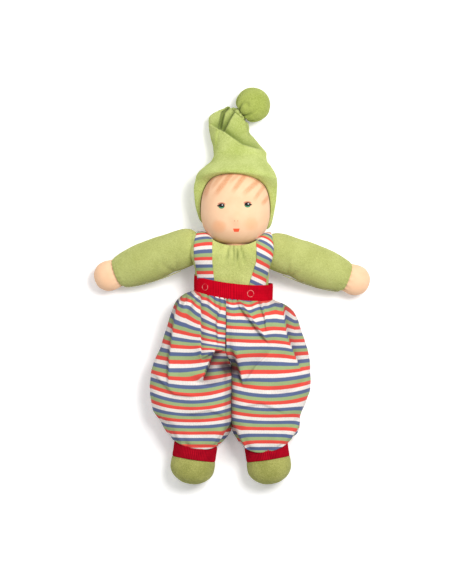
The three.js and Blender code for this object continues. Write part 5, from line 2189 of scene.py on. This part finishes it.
    def build(self, bench: Bench) -> None:
        """Make the hat.

        Args:
            bench: Where it is made.
        """
        mesh = bench.wrap(*self.cells, self.place, self.flat)
        bench.fold(mesh, self.folded)
        cloth = Velour(name="velour_hat", light=(206, 216, 138), deep=(174, 188, 98))
        hat = bench.make("hat_velour", mesh, cloth)
        bench.declare(hat, self.cut)
        bench.wall(hat, self.wall)
        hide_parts("hat")
        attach(hat, "hat")


@dataclass
class Pompom:
    """Stuffed velour ball tied onto the hat's tip."""

    hat: Hat
    radius: float = 15.8
    neck: float = 4.2
    neck_share: float = 0.16
    neck_pleats: int = 9
    neck_run: Pair = (-3, 1)
    pole: float = 74
    pleat_depth: float = 1.5
    tuck: float = 5.5
    dimple: float = 2.6
    cells: Cells = (144, 96)
    flat: Pair = (95, 50)

    @cached_property
    def matrix(self) -> Matrix:
        """The ball's own frame, whose second axis points away from the tie."""
        turn = Vector((0, 1, 0)).rotation_difference(self.hat.aim).to_matrix().to_4x4()
        return Matrix.Translation(self.hat.pompom) @ turn

    def groove(self, angle: float) -> float:
        """Give how near an angle lies to one of the nine gathers."""
        return abs(cos(4.5 * angle + 0.6 + 0.5 * sin(2 * angle))) ** 8

    def folded(self, point: Vector) -> float:
        """Give how deep a point of the ball lies in its gathers."""
        along = point.y / self.radius
        return 0.75 * self.groove(atan2(point.z, point.x)) * (1 - smoothstep(along, -0.85, 0.1))

    def place(self, u: float, v: float) -> Vector:
        """Give a point of the ball, from its gathered neck to its far side.

        Args:
            u: Share round it.
            v: Share along it.

        Returns:
            The point.
        """
        angle = 2 * pi * u
        if v < self.neck_share:
            share = v / self.neck_share
            ruffle = 1 + 0.1 * cos(self.neck_pleats * angle)
            radius = self.neck * smoothstep(share, -0.3, 0.25) * ruffle
            start, end = (run - self.hat.setback for run in self.neck_run)
            return Vector((radius * cos(angle), lerp(start, end, share), radius * sin(angle)))
        share = (v - self.neck_share) / (1 - self.neck_share)
        turn = lerp(-radians(self.pole), pi / 2, share)
        pleats = -self.pleat_depth * self.groove(angle) * (1 - smoothstep(share, 0.1, 0.62))
        radius = self.radius * cos(turn)
        y = self.radius * sin(turn)
        point = Vector((radius * cos(angle), y, radius * sin(angle)))
        point.y += self.tuck * bell(hypot(point.x, point.z), 7) * (1 if y < 0 else 0) - 0.3
        grow = 0.4 * pile(point, 8, 1) + 0.22 * pile(point, 3, 2) + 0.12 * pile(point, 1.5, 4)
        dimple = bell(point.x + 3, 2.0) * bell(point.z - 13, 5) * bell(point.y + 4, 2.2)
        return point + point.normalized() * (grow + pleats - self.dimple * dimple)

    def build(self, bench: Bench) -> None:
        """Make the pompom.

        Args:
            bench: Where it is made.
        """
        mesh = bench.wrap(*self.cells, self.place, self.flat)
        bench.fold(mesh, self.folded)
        # Painted shade: a darker copy of the hat's velour.
        cloth = Velour(name="velour_pompom_painted_shade", light=(181, 193, 102), deep=(148, 162, 72))
        ball = bench.make("pompom_velour", mesh, cloth, self.matrix)
        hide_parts("pompom")
        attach(ball, "pompom")


@dataclass
class Studio:
    """Pale floor, soft lights and a camera straight above."""

    millimetres_per_point: float = 0.9
    image: Cells = (452, 584)
    centre: Pair = (-5.4, -5.85)
    focus: float = 26.0
    distance: float = 2600.0
    sensor: float = 24
    far: float = 20
    cloth: Color = (0.95, 0.945, 0.955)
    glow: float = 0.2
    floor_half: float = 4
    aim: Triple = (0, 0, 0.03)
    ambient: float = 0.4

    def camera(self) -> None:
        """Look straight down on the doll through a long lens."""
        data = bpy.data.cameras.new("from_above")
        data.sensor_fit = "VERTICAL"
        data.sensor_height = self.sensor
        height = self.image[1] * self.millimetres_per_point
        data.lens = self.sensor * self.distance / height
        data.clip_end = self.far
        camera = enter("from_above", data)
        camera.location = Vector((*self.centre, self.focus + self.distance)) * MM
        bpy.context.scene.camera = camera

    def floor(self) -> None:
        """Lay the white floor, which shows shadows and is white to the camera elsewhere."""
        graph = Graph("floor_white")
        diffuse = graph.node("ShaderNodeBsdfDiffuse", {}, {"Color": (*self.cloth, 1)})
        glow = graph.node("ShaderNodeEmission", {}, {"Color": (1, 1, 1, 1), "Strength": self.glow})
        both = graph.node("ShaderNodeAddShader", {}, {0: diffuse, 1: glow})
        camera = graph.node("ShaderNodeLightPath", {}, {}, "Is Camera Ray")
        graph.close(graph.node("ShaderNodeMixShader", {}, {0: camera, 1: diffuse, 2: both}))
        mesh = bmesh.new()
        bmesh.ops.create_grid(mesh, x_segments=2, y_segments=2, size=self.floor_half)
        data = bpy.data.meshes.new("floor")
        mesh.to_mesh(data)
        mesh.free()
        data.materials.append(graph.material)
        floor = enter("floor", data)

    def lamp(self, name: str, place: Triple, size: float, power: float,
             color: Color = (1, 1, 1)) -> None:
        """Hang a soft square lamp that faces the doll.

        Args:
            name: Its name.
            place: Its place, in metres.
            size: Its side, in metres.
            power: Its power, in watts.
            color: Its colour.
        """
        data = bpy.data.lights.new(name, "AREA")
        data.size = size
        data.energy = power
        data.color = color
        lamp = enter(name, data)
        lamp.location = Vector(place)
        lamp.rotation_euler = (Vector(self.aim) - lamp.location).to_track_quat("-Z", "Y").to_euler()

    def build(self) -> None:
        """Set up the camera, floor, lamps and world."""
        self.camera()
        self.floor()
        self.lamp("key", (0.48, 0.4, 1.35), 0.5, 17.0, (1.0, 0.99, 0.97))
        self.lamp("fill", (-0.5, 0.5, 1.4), 0.9, 5.0)
        world = bpy.data.worlds.new("studio")
        world.use_nodes = True
        background = world.node_tree.nodes["Background"]
        background.inputs["Color"].default_value = (1, 1, 1, 1)
        background.inputs["Strength"].default_value = self.ambient
        bpy.context.scene.world = world
        bpy.context.scene.view_settings.view_transform = "Standard"


def main() -> None:
    """Build the doll's pieces in order."""
    logging.basicConfig(level=logging.INFO, format="%(message)s")
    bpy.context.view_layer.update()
    bench = Bench()
    Studio().build()
    head = Head()
    head.build(bench)
    under = Torso(head).build(bench)
    for side in Side:
        ball = Arm(side).build(bench)
        scratch = bpy.data.meshes.new("scratch")
        ball.to_mesh(scratch)
        under.from_mesh(scratch)
        ball.free()
        bpy.data.meshes.remove(scratch)
    tree = BVHTree.FromBMesh(under)
    under.free()
    waist = Waist()
    waist.build(bench)
    for side in Side:
        leg = Leg(side)
        leg.build(bench)
        if side is Side.LEFT:
            half = Trousers(side, waist, leg, phase=2.0, centre=-36.0, dip=6.8, droop=2.5, slack=0.3)
        else:
            half = Trousers(side, waist, leg, phase=6.0, centre=34.0, dip=5.2, droop=5.5)
        half.build(bench)
    Strap(Side.LEFT, low=14.0, top=17.0, phase=0.0).build(bench, tree)
    Strap(Side.RIGHT, low=10.5, top=21.0, end_y=-11.4, phase=4.0, slant=-0.42).build(bench, tree)
    hat = Hat(head)
    hat.build(bench)
    Pompom(hat).build(bench)
    bench.dress(Wool(), ("torso_stuffing", "head_core", "left_arm_stuffing", "right_arm_stuffing",
                         "pompom_stuffing"))
    bench.dress(Thread(), ("eye_line_tie", "neck_tie", "hat_tie", "left_armhole_seam", "right_armhole_seam",
                           "left_hip_seam", "right_hip_seam"))
    hidden = ("socket", "stud", "back_ring")
    bench.dress(SnapSteel(), [f"{side.label}_snap_{part}" for side in Side for part in hidden])


if __name__ == "__main__":
    main()
